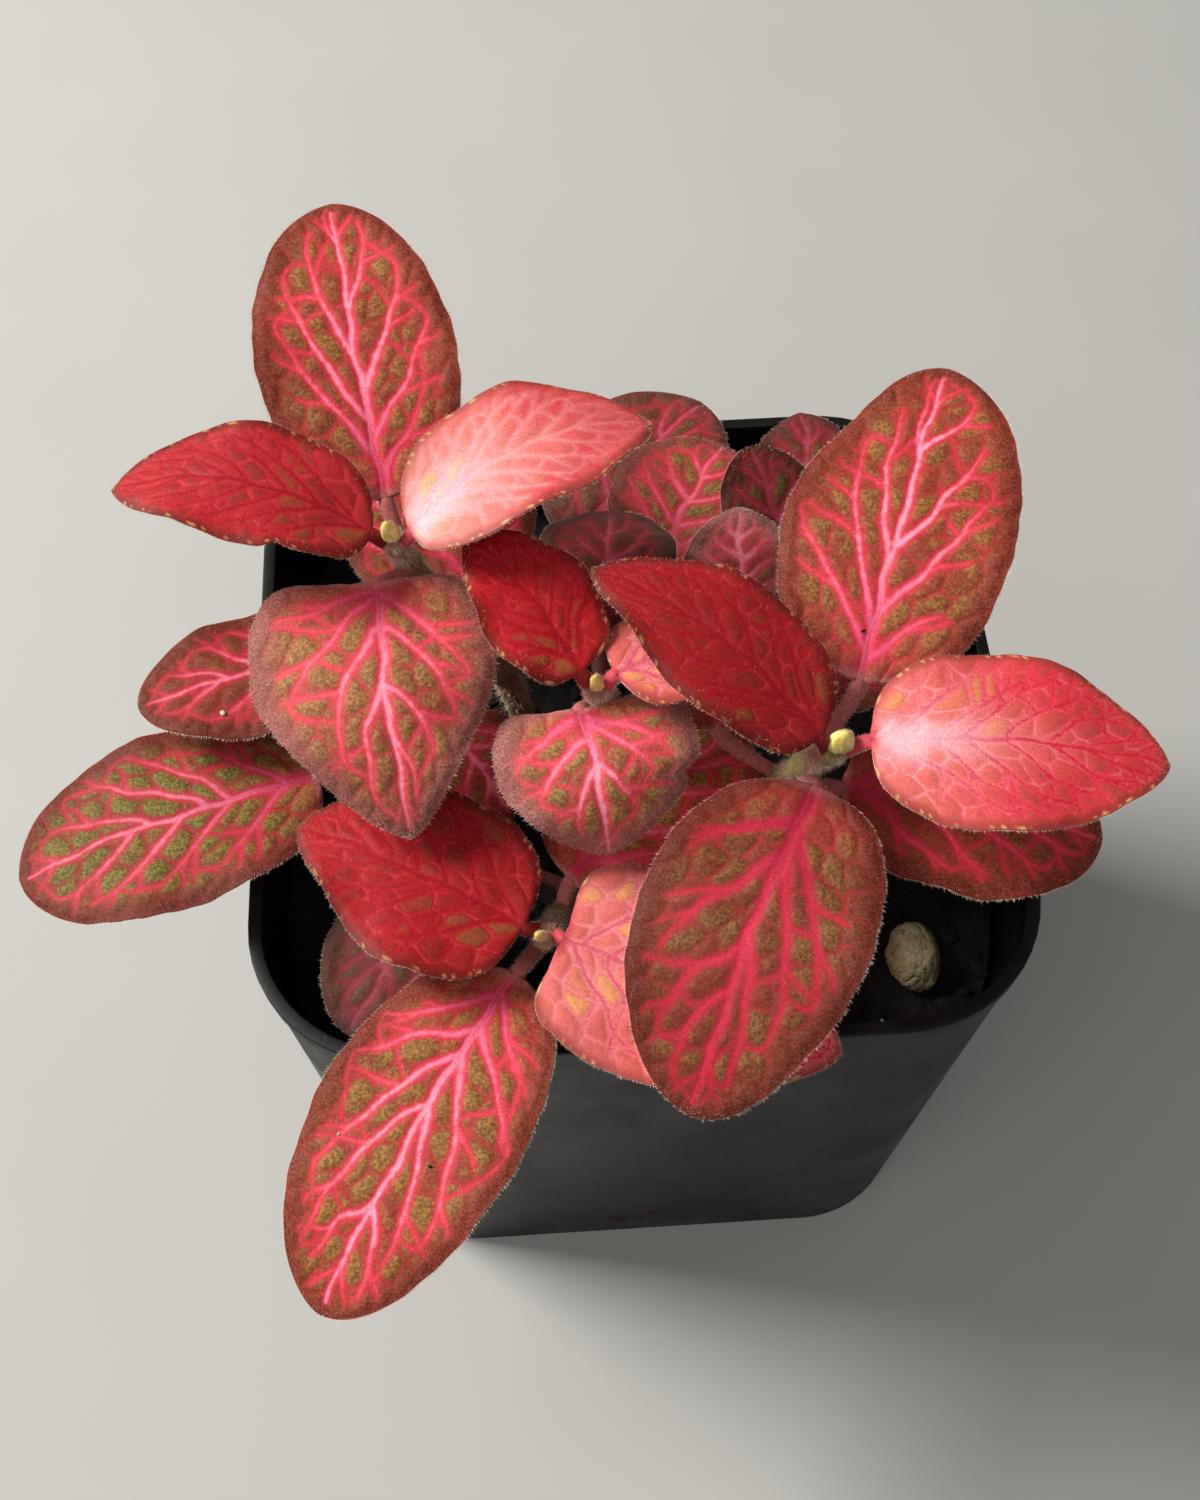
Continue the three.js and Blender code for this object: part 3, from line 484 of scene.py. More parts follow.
def young_finish(name, item):
    """Red with sunken darker veins, lighter cross veins, duller cells and a dotted edge."""
    f = Finish(name, roughness=0.5, **BLADE_SKIN)
    base, tip = item.pale
    coral, palest = base > 0.3, base > 0.9
    vein, net, rib, rim, along, dots, cell = map(f.value, "vein net rib rim along dots cell".split())
    broad, drift, grain, fleck = f.noise(3), f.noise(0.9), f.noise(0.26, 3, 0.7), f.noise(0.4)
    ragged = f.math("ADD", f.step(grain, 0.25, 0.75, -0.05, 0.05), f.step(drift, 0.3, 0.7, -0.06, 0.06))
    vein, net = f.math("ADD", vein, ragged), f.math("ADD", net, ragged)
    outward = f.step(f.math("ADD", along, f.step(rib, 0, 7, 0, 0.25)), 0.25, 0.85)

    # The coral of a young ground is partly the blade's own colour and partly painted light on the blades
    # that face the light.
    f.ground = f.mix(outward, blush(base), blush(tip))
    if coral:
        dull = f.mix(outward, "d07a6a" if palest else "c85e54", "c4605a" if palest else "a83e3a")
    else:
        dull = f.mix(f.step(fleck, 0.3, 0.7), "761f1d", "8e2a27")
    f.cover(dull, f.step(net, 0.02, 0.40), f.step(vein, 0.05, 0.50), f.step(cell, 0, 0.8, 0.55, 1),
            f.step(broad, 0.3, 0.6, 0.5, 0.85))
    chosen = f.step(cell, 0.93 - item.green, 1 - item.green)
    f.cover("d8a060" if coral else "84582c", chosen, f.step(net, 0.15, 0.5), f.step(vein, 0.1, 0.4),
            f.step(along, 0.15, 0.6, 1, 0), f.step(rim, 0.8, 2), 0.65 if coral else 0.45)
    f.cover("7c3028" if coral else "5c1814", f.step(rim, 0.15, 1.4, 0.85, 0),
            f.step(grain, 0.3, 0.7, 0.6, 1))

    faint = 0.35 if base > 0.85 else 0.75
    threads = f.mix(outward, "eaa6ae", "dc7080") if coral else "c4444c"
    f.cover(threads, f.step(net, -0.02, 0.17, faint, 0), f.step(drift, 0.35, 0.6, 0.55, 1),
            f.step(rim, 0.5, 1.5))
    near, deep = "a41a24", "800e18"
    if palest:
        near, deep = "dc9290", f.mix(f.step(along, 0.1, 0.45), "d07890", "dc9898")
    elif coral:
        near, deep = f.mix(outward, "d87c86", "ca3444"), f.mix(f.step(along, 0.1, 0.6), "c4566a", "bc1c30")
    fading = f.step(along, 0.3, 0.95, 1, 0.35 if palest else 1)
    f.cover(near, f.step(vein, 0.02, 0.55, 0.5, 0), f.step(rim, 0.5, 2), fading)
    strong = 0.5 if palest else 0.85 if coral else 0.65
    f.cover(deep, f.step(vein, -0.08, 0.12, strong, 0), f.step(rim, 0.3, 1.4), fading)
    # Painted highlight: a whitish glow along the middle near the base, standing for light shining through
    # the blade.
    if item.glow:
        ray = f.math("ADD", rib, f.step(broad, 0.3, 0.7, -0.6, 0.6))
        f.cover("eabcc6", f.step(along, 0, 0.5, item.glow, 0), f.step(ray, 0.2, 3.6, 1, 0),
                f.step(along, 0, 0.06), 0.8)
    f.cover("d4a870" if coral else "bc8c5c", dots, 0.85)
    f.cover("b0404a" if coral else "7c1c1e", f.step(along, 0, 0.03, 1, 0))
    # The grain is the blade's own. The leaf's tone multiplier is partly its own tone and mostly painted
    # light and painted shade for how lit or shaded the leaf lies.
    f.shade(f.step(grain, 0.2, 0.8, 0.74, 1.26), item.tone)
    f.bump(grain, 0.08, 0.6)
    return f.material


def under_finish(name, young):
    """The underside: duller and paler, with raised pale veins."""
    f = Finish(name, roughness=0.6, sheen=0.1, specular=0.25, subsurface=0.12)
    grain = f.noise(0.35, 3, 0.7)
    f.ground = f.mix(grain, "9c3a3c" if young else "8c5a4a", "b85a58" if young else "a4806a")
    f.cover("d8707c" if young else "d08a90", f.step(f.value("vein"), -0.1, 0.4, 0.8, 0))
    f.cover("70302c", f.step(f.value("rim"), 0.2, 1.2, 0.6, 0))
    f.paint(f.ground)
    f.bump(grain, 0.10, 0.6)
    return f.material


def cloudy_finish(name, dark, light, size, detail=2, **skin):
    """A dark and a light colour in soft clouds, size millimetres across."""
    f = Finish(name, **skin)
    f.paint(f.mix(f.noise(size, detail), dark, light))
    return f.material


def stem_finish():
    """Greenish tan skin that reddens in patches."""
    f = Finish("stem_skin", roughness=0.6, sheen=0.1, specular=0.35, subsurface=0.1)
    patch, grain = f.noise(5, 3), f.noise(0.4, 3, 0.7, stretch=(1, 1, 0.35))
    f.ground = f.mix(f.step(patch, 0.38, 0.62), "8c8a4c", "a66c58")
    f.shade(f.step(grain, 0.25, 0.75, 0.62, 1.08))
    f.bump(grain, 0.12, 0.7)
    return f.material


def bud_finish():
    """Pale yellow-green in soft patches."""
    f = Finish("bud_skin", roughness=0.5, sheen=0.3, specular=0.4, subsurface=0.2)
    grain, patch = f.noise(0.35, 3, 0.6), f.noise(1.6)
    f.ground = f.mix(f.step(patch, 0.35, 0.65), "c9b64e", "e6dc8e")
    f.shade(f.step(grain, 0.25, 0.75, 0.85, 1.12))
    f.bump(grain, 0.08, 0.6)
    return f.material


def pot_finish():
    """Black moulded plastic: satin, a little dusty, finely textured, with dried mud at the foot."""
    f = Finish("pot_plastic", roughness=0.45, specular=0.3)
    cloud, fine, scuff = f.noise(14, 4, 0.6), f.noise(0.5), f.noise(2.2, 5, 0.75, stretch=(1, 1, 0.3))
    f.ground = f.mix(f.step(cloud, 0.42, 0.72, 0, 0.3), "090807", "1a1714")
    f.cover("4a4741", f.step(scuff, 0.66, 0.72, 0, 0.35))
    ragged = f.step(f.noise(1.1, 3, 0.6), 0.3, 0.7, -0.9, 0.9)
    mud = 0
    for x, z, size in MUD_SPOTS:
        gap = f.math("ADD", f.away_from(x, FRONT_WALL, z), ragged)
        mud = f.math("MAXIMUM", mud, f.step(gap, size - 0.5, size + 0.5, 0.85, 0))
    f.cover("28180f", mud)
    f.paint(f.ground)
    f.put(f.skin["Roughness"], f.math("MAXIMUM", f.step(cloud, 0.3, 0.75, 0.36, 0.58), mud))
    f.bump(fine, 0.05, 0.4)
    f.bump(cloud, 0.35, 0.5)
    return f.material


def mix_finish():
    """Damp peat and bark, nearly black with brown bits."""
    f = Finish("potting_mix", roughness=0.85, specular=0.35)
    lump, grain, bit = f.noise(3, 4, 0.65), f.noise(0.5, 4, 0.7), f.noise(1.4, 3, 0.6)
    f.ground = f.mix(f.step(lump, 0.35, 0.65), "090503", "180e0a")
    f.cover("33211a", f.step(bit, 0.62, 0.72, 0, 0.7))
    f.shade(f.step(grain, 0.3, 0.7, 0.45, 1.15))
    f.bump(grain, 0.5, 0.9)
    f.bump(lump, 1.2, 0.7)
    return f.material


def stone_finish():
    """Pumice: grey-beige with dark pits, brown on one side and olive on the other."""
    f = Finish("pumice", roughness=0.85, specular=0.3)
    patch, pit, grain = f.noise(3.5, 3), f.noise(0.9, 3, 0.65), f.noise(0.3, 3, 0.7)
    f.ground = f.mix(f.step(patch, 0.35, 0.65), "94845e", "ab9f7e")
    side = f.math("DIVIDE", f.node("SeparateXYZ", {0: f.place})[0], MM)
    left, right = STONE_PLACE[0] - 2.8, STONE_PLACE[0] + 2.8
    f.cover("6f6a34", f.step(side, right - 2.2, right, 0, 0.8))
    f.cover("7a5a3c", f.step(side, left, left + 1.8, 0.75, 0))
    f.cover("3a3228", f.step(pit, 0.33, 0.43, 0.85, 0))
    f.shade(f.step(grain, 0.25, 0.75, 0.70, 0.98))
    f.bump(pit, 0.8, 0.8)
    f.bump(grain, 0.2, 0.7)
    return f.material


# ---------- stems ----------
def stem_points(line, shares):
    """Points and directions on the centripetal Catmull-Rom curve through a stem's points."""
    line = np.array(line, float)
    ends = np.vstack([2 * line[0] - line[1], line, 2 * line[-1] - line[-2]])
    places, ways = [], []
    for share in np.atleast_1d(shares):
        at = min(share * (len(line) - 1), len(line) - 1 - 1e-9)
        i, w = int(at), at - int(at)
        a, b, c, d = ends[i:i + 4]
        t0, t1, t2 = (np.linalg.norm(q - p) ** 0.5 for p, q in ((a, b), (b, c), (c, d)))
        m1 = ((b - a) / t0 - (c - a) / (t0 + t1) + (c - b) / t1) * t1
        m2 = ((c - b) / t1 - (d - b) / (t1 + t2) + (d - c) / t2) * t1
        k2, k3 = -3 * b + 3 * c - 2 * m1 - m2, 2 * b - 2 * c + m1 + m2
        places.append(b + m1 * w + k2 * w ** 2 + k3 * w ** 3)
        ways.append(m1 + 2 * k2 * w + 3 * k3 * w ** 2)
    return np.array(places), unit(ways)


def stem_at(name, height):
    """The point, direction and radius of a stem where it reaches a height."""
    shares = np.linspace(0, 1, 401)
    places, ways = stem_points(STEMS[name], shares)
    i = min(int(np.searchsorted(places[:, 2], height)), len(shares) - 1)
    return places[i], ways[i], lerp(STEM_FOOT_RADIUS, STEM_TOP_RADIUS, shares[i])


def make_stem(name, skin, hair, rng):
    """A tube that swells where leaves grow from it, with short hairs."""
    shares = np.linspace(0, 1, 60)
    places = stem_points(STEMS[name], shares)[0]
    radii = lerp(STEM_FOOT_RADIUS, STEM_TOP_RADIUS, shares)
    for height in sorted({item.at for item in LEAVES.values() if item.stem == name}):
        radii = radii + SWELLING[0] * np.exp(-(((places[:, 2] - height) / SWELLING[1]) ** 2))
    foot = np.r_[places[0][:2], MIX_LEVEL - FOOT_DEPTH]
    places, radii = np.vstack([foot, places]), np.r_[STEM_FOOT_RADIUS, radii]
    curve = bpy.data.curves.new(f"stem_{name}", "CURVE")
    curve.dimensions = "3D"
    curve.bevel_depth = MM
    curve.bevel_resolution = 6
    curve.use_fill_caps = True
    spline = curve.splines.new("POLY")
    spline.points.add(len(places) - 1)
    for point, place, radius in zip(spline.points, places, radii):
        point.co = (*(place * MM), 1)
        point.radius = radius
    select(linked(f"stem_{name}", curve))
    bpy.ops.object.convert(target="MESH")
    piece = bpy.context.object
    piece.data.materials.append(skin)
    count = int(STEM_HAIRS * (places[-1, 2] - MIX_LEVEL))
    spots = 1 - rng.uniform(0, 0.97, count) ** 1.6
    middles, along = stem_points(STEMS[name], spots)
    out = unit(np.cross(along, unit(rng.normal(size=(count, 3)))))
    radius = lerp(STEM_FOOT_RADIUS, STEM_TOP_RADIUS, spots)[:, None]
    hairs = hair_piece(middles + out * (radius - 0.05), out, 0.3, (0.4, 1.1), 0.022, hair, rng)
    settle(join([piece, hairs], f"stem_{name}"), [f"stem_{name}"])


def hair_piece(roots, ways, spread, lengths, radius, finish, rng):
    """Many three-sided hairs in one piece, each from its root along its way, give or take spread."""
    if spread:
        ways = unit(ways + spread * rng.normal(size=ways.shape))
    lengths = rng.uniform(*lengths, (len(roots), 1))
    aside = unit(np.cross(ways, np.where(np.abs(ways[:, 2:]) < 0.9, [[0, 0, 1]], [[1, 0, 0]])))
    other = np.cross(ways, aside)
    turns = np.arange(3) * 2 * math.pi / 3
    ring = (roots[:, None] + radius * (np.cos(turns)[None, :, None] * aside[:, None]
            + np.sin(turns)[None, :, None] * other[:, None]))
    points = np.concatenate([ring, (roots + ways * lengths)[:, None]], axis=1)
    faces = []
    for a in range(0, 4 * len(roots), 4):
        b, c, top = a + 1, a + 2, a + 3
        faces += [(a, b, top), (b, c, top), (c, a, top), (c, b, a)]
    piece = mesh_piece("hairs", points.reshape(-1, 3), faces)
    piece.data.materials.append(finish)
    return piece


# ---------- growing tips ----------
def make_bud(name, skin, hair, rng):
    """Two small folded leaves, pressed together into a pointed egg."""
    places, ways = stem_points(STEMS[name], [1.0])
    along = unit(lerp(ways[0], np.array([0, 0, 1.0]), 0.5))
    foot = places[0] - along * BUD_SINK
    piece = made(bpy.ops.mesh.primitive_uv_sphere_add, segments=40, ring_count=28, radius=1)
    co = places_of(piece) * MM
    high = (co[:, 2] + 1) / 2
    round_ = np.sqrt(np.clip(1 - co[:, 2] ** 2, 0, 1)) * lerp(1.22, 0.80, high)
    angle = np.arctan2(co[:, 1], co[:, 0])
    cleft = 1 - 0.20 * smooth(high, 0.15, 0.5) * np.exp(-(np.sin(angle) / 0.22) ** 2)
    fold = 1 + 0.10 * np.cos(2 * angle) + 0.03 * np.cos(7 * angle + 9 * high)
    across = BUD_RADIUS * BUD_GIRTH[name] * round_ * cleft * fold
    local = np.c_[across * np.cos(angle), across * np.sin(angle) * 0.88, (BUD_LENGTH + 0.5) * high ** 1.05]
    turn = Vector((0, 0, 1)).rotation_difference(Vector(along)).to_matrix()
    outside = foot + local @ np.array(turn).T
    move_to(piece, outside)
    piece.data.materials.append(skin)
    picks = rng.choice(len(outside), BUD_HAIRS)
    out = unit(outside[picks] - (foot + along * BUD_LENGTH * 0.4))
    hairs = hair_piece(outside[picks] - out * 0.05, out, 0.4, (0.15, 0.4), 0.03, hair, rng)
    settle(join([piece, hairs], f"bud_{name}"), [f"bud_{name}"])


# ---------- leaves ----------
def half_width(item, share, hand):
    """The blade's width, in mm, on its left (hand 1) or right (-1), at a share of its length."""
    widest, base, tip, _ = KINDS[item.kind]
    share = np.clip(share, 0, 1)
    inner = share < widest
    u = np.where(inner, (widest - share) / widest, (share - widest) / (1 - widest))
    power, root = np.where(inner, base[0], tip[0]), np.where(inner, base[1], tip[1])
    edge = np.clip(1 - u ** power, 0, 1) ** (1 / root)
    slim = np.where(hand > 0, item.slim[0], item.slim[1]) * smooth(share, SLIM_START, SLIM_END)
    reach = edge * item.width / 2 * (1 + item.skew * hand) * (1 - slim)
    run = share * item.width + 3 * hand
    uneven = 0.07 * np.sin(run * 1.3) + 0.05 * np.sin(run * 2.9 + item.width) + 0.1
    reach = reach - uneven * smooth(share, 0.05, 0.2) * smooth(1 - share, 0.02, 0.2)
    if item.notch:
        place, side, depth = item.notch
        reach = reach - np.where(hand == side, depth, 0) * np.exp(-((share - place) / 0.035) ** 2)
    return np.maximum(reach, lerp(PETIOLE_WIDTH, TIP_WIDTH, share) / 2)


def flat_place(item, share, side):
    """Where a point of the blade lies on the flat blade: along it and to its left, in mm."""
    reach = side * half_width(item, share, np.sign(side))
    breadth = reach / (item.width / 2)
    back = KINDS[item.kind][3] * item.width * breadth ** 2 * (1 - share) ** 3
    return share * item.length - back, reach


def blade_axes(item):
    """Directions from a blade's base to its tip, to its left and up out of it."""
    forward = (item.tip - item.base) / item.length
    up = unit(np.array([0, 0, 1.0]) - forward[2] * forward)
    return forward, np.cross(up, forward), up


def blade_point(item, share, side, phase):
    """Points of the blade's middle surface; share runs from base to tip, side from right to left."""
    forward, left, up = blade_axes(item)
    ahead, reach = flat_place(item, share, side)
    arch = 4 * share * (1 - share)
    breadth = reach / (item.width / 2)
    edge = np.abs(side) ** 3 * np.sqrt(np.sin(math.pi * np.clip(share, 0, 1)))
    swing = WAVE_HEIGHT * np.sin(2 * math.pi * WAVES * share + phase + (side < 0) * WAVE_SHIFT) * edge
    lift = item.bow * item.length * arch + item.cup * breadth ** 2 * item.width / 2 + swing
    return (item.base + ahead[..., None] * forward + (reach + item.side * arch)[..., None] * left
            + lift[..., None] * up)


def stalk_rows(item, shares):
    """The stalk's middle line and its sideways direction, from inside the stem to the blade's base."""
    forward, left, up = blade_axes(item)
    point, along, radius = stem_at(item.stem, item.at)
    foot = item.base
    outward = foot - point
    outward = unit(outward - outward.dot(along) * along)
    start = point + outward * radius * 0.5
    pull = PETIOLE_PULL * np.linalg.norm(foot - start)
    leaving = unit(forward + up * 4 * item.bow)
    u = shares[:, None]
    middle = (lerp(start, foot, 3 * u ** 2 - 2 * u ** 3) + outward * u * (1 - u) ** 2 * pull
            - leaving * u ** 2 * (1 - u) * pull)
    return middle, unit(lerp(unit(np.cross(along, outward)), left, u))


def curve_between(a, b, c, d, steps):
    """A Bezier curve from a to d."""
    t = np.linspace(0, 1, steps)[:, None]
    a, b, c, d = (np.array(p, float) for p in (a, b, c, d))
    return a * (1 - t) ** 3 + 3 * b * t * (1 - t) ** 2 + 3 * c * t ** 2 * (1 - t) + d * t ** 3


def cross_vein(a, d, shift, steps):
    """A nearly straight line from a to d that bends towards the tip."""
    return curve_between(a, lerp(a, d, 0.3) + [0.02, 0], lerp(a, d, 0.7) + [shift, 0], d, steps)


def vein_lines(name, item, net, rng):
    """A blade's side veins, fork by fork, as (share, side) paths with their half widths; its midrib."""
    pairs, heart = net.pairs, item.kind == "heart"
    shares = np.linspace(0, 0.96, 40)
    wander = 0.022 * np.sin(shares * 13 + rng.uniform(0, 6)) * smooth(shares, 0.15, 0.5)
    midrib = np.c_[shares, wander]
    lines = []
    steps = np.linspace(0, 1, 20)
    for half, hand in enumerate((1, -1)):
        ends = []
        if name in SIDE_VEINS:
            ends = np.array(SIDE_VEINS[name][half]) / 100
        else:
            for k in range(pairs):
                share = k / (pairs - 1)
                start = lerp(net.first, net.last, share) + rng.uniform(-0.03, 0.03)
                end = min(start + lerp(0.36, 0.24, share) + rng.uniform(-0.03, 0.04), 0.93)
                ends.append((start, lerp(0.80, 0.48, share ** 2) * rng.uniform(0.94, 1.05), end))
        paths = []
        for k, (start, reach, end) in enumerate(ends):
            power = 1.45 if heart and k < 2 else 1.15
            sway = 0.010 * np.sin(steps * math.pi * rng.uniform(1.5, 3)) * rng.choice((-1, 1))
            begin = np.interp(start, shares, wander)
            path = np.c_[start + (end - start) * steps ** power + sway,
                    lerp(begin, hand * reach, steps) + 0.6 * sway]
            paths.append(path)
            size = net.side[0] * lerp(1.08, 0.62, start) * rng.uniform(0.9, 1.1)
            lines.append((path, size, net.side[1]))
            for spot in ((9, 14) if reach > 0.6 else (11,) if reach > 0.4 else ()):
                fork = path[spot + int(rng.integers(-1, 2))]
                room = max(0.9 - abs(fork[1]), 0.1)
                far = fork + [rng.uniform(0.03, 0.09), hand * room * rng.uniform(0.6, 0.95)]
                lines.append((cross_vein(fork, far, -0.01, 9), *net.fork))
        for k, path in enumerate(paths):
            goal = paths[k + 1][15] if k + 1 < len(paths) else np.array([0.955, 0.02 * hand])
            bulge = path[-1] + [0.05, 0.03 * hand]
            if rng.uniform() < 0.75:
                lines.append((curve_between(path[-1], bulge, goal + [-0.01, 0.08 * hand], goal, 10),
                        *net.loop))
            if k + 1 < len(paths) and rng.uniform() < 0.6:
                lines.append((cross_vein(path[13], paths[k + 1][8], 0.01, 8), *net.loop))
        tip = np.array([0.86, 0.0])
        turns = (tip + [0.03, 0.08 * hand], tip + [0.06, 0.25 * hand], tip + [0.085, 0.5 * hand])
        lines.append((curve_between(tip, *turns, 8), *net.fork))
    return lines, (midrib, *net.rib)


def cell_seeds(item, lines, mesh, rng):
    """Middles of the cells between the veins, as evenly strewn as the mesh of the net asks."""
    share, side = rng.uniform(0.01, 0.985, 5000), rng.uniform(-0.96, 0.96, 5000)
    ahead, reach = flat_place(item, share, side)
    clear = distance_to(item, lines, ahead, reach)[0] > 0.30
    kept = []
    for place in np.c_[ahead, reach][clear]:
        if not kept or cell_gap(np.array(kept), place).min() > mesh:
            kept.append(place)
    return np.array(kept)


def cell_gap(places, other):
    """How far apart points lie, counted less along the run of the side veins, so cells are long."""
    dx, dy = places[..., 0] - other[..., 0], places[..., 1] - other[..., 1]
    hand = np.sign(places[..., 1] + 1e-6)
    along, across = 0.80 * dx + 0.60 * hand * dy, -0.60 * hand * dx + 0.80 * dy
    return np.hypot(along / 1.35, across / 0.85)


def cell_net(item, lines, net, ahead, reach, rng):
    """For each flat point, how far it is from the border of its cell, and its cell's own number."""
    seeds = cell_seeds(item, lines, net.mesh, rng)
    own = rng.uniform(0, 1, len(seeds))
    first = np.full(ahead.shape, 1e3)
    second = first.copy()
    number = np.zeros(ahead.shape)
    points = np.stack([ahead, reach], axis=-1)
    for seed, value in zip(seeds, own):
        gap = cell_gap(points, seed)
        nearer = gap < first
        second = np.where(nearer, first, np.minimum(second, gap))
        number = np.where(nearer, value, number)
        first = np.where(nearer, gap, first)
    return np.minimum((second - first) / 2, (net.mesh * net.round - first) * 0.8), number


def distance_to(item, veins, ahead, reach, near=2.6):
    """For each flat point, how far the nearest vein's edge is, in mm, and that vein's half width."""
    found, wide = np.full(ahead.shape, near * 1.5), np.full(ahead.shape, 0.1)
    for path, first, last in veins:
        x, y = flat_place(item, path[:, 0], path[:, 1])
        widths = np.linspace(first, last, len(x))
        close = (ahead > x.min() - near) & (ahead < x.max() + near)
        close = close & (reach > y.min() - near) & (reach < y.max() + near)
        px, py = ahead[close], reach[close]
        best, size = found[close], wide[close]
        for i in range(len(x) - 1):
            dx, dy = x[i + 1] - x[i], y[i + 1] - y[i]
            share = np.clip(((px - x[i]) * dx + (py - y[i]) * dy) / max(dx * dx + dy * dy, 1e-9), 0, 1)
            half = lerp(widths[i], widths[i + 1], share)
            gap = np.hypot(px - x[i] - share * dx, py - y[i] - share * dy) - half
            size = np.where(gap < best, half, size)
            best = np.minimum(best, gap)
        found[close], wide[close] = best, size
    return found, wide


def wobble(x, y, size, offset):
    """A smooth wandering number in -1 to 1 over the blade, without a table."""
    return (np.sin(x / size * 2.1 + offset) * np.cos(y / size * 1.7 - offset * 1.3)
            + np.sin(x / size * 0.9 - y / size * 2.4 + offset * 2.1)) / 2


def blade_pattern(name, item, shares, across, phase, rng):
    """For each point of a blade, the numbers that its finish and its relief are made from."""
    ahead, reach = flat_place(item, shares, across)
    ahead_w = ahead + 0.22 * wobble(ahead, reach, 2.6, phase)
    reach_w = reach + 0.22 * wobble(reach, ahead, 2.2, phase + 2)
    kind = NETS[item.look]
    lines, midrib = vein_lines(name, item, kind, rng)
    rib, rib_wide = distance_to(item, [midrib], ahead_w, reach_w, near=15)
    vein, wide = distance_to(item, lines, ahead_w, reach_w)
    wide = np.where(rib < vein, rib_wide, wide)
    net, cell = cell_net(item, lines + [midrib], kind, ahead_w, reach_w, rng)
    rim = (1 - np.abs(across)) * half_width(item, shares, np.sign(across))
    rim = np.minimum(rim, (1 - shares) * item.length * 0.9 + 0.15)
    run = shares * item.length * 1.25 + (across < 0) * 0.7
    tooth = np.abs((run / 1.5 + 0.22 * np.sin(run * 2.3 + phase)) % 1 - 0.5) * 1.5
    shown = smooth(np.sin(run * 1.7 + phase) + np.sin(run * 0.61 + 2 * phase), -0.9, 0.6)
    dots = smooth(0.30 - np.hypot(tooth, (rim - 0.2) * 1.1), 0, 0.18) * shown
    return dict(vein=np.minimum(vein, rib), net=net, rib=rib, rim=rim, along=shares,
            dots=dots * (item.look == "young"), wide=wide, cell=cell)


def blade_relief(item, shares, across, phase, pattern):
    """How high each point of a blade stands: the cells swell between the veins, the midrib sinks."""
    rim, height, depth = pattern["rim"], *RELIEF[item.look]
    swell = smooth(np.minimum(pattern["vein"], pattern["net"] * 1.3), 0, 1) * smooth(rim, 0, 1.4)
    groove = smooth(0.45 - pattern["rib"], 0, 0.6) * (1 - 0.75 * shares)
    lumps = 0.10 * wobble(*flat_place(item, shares, across), 3.4, phase + 1) * smooth(rim, 0, 2)
    return height * swell - depth * groove + lumps


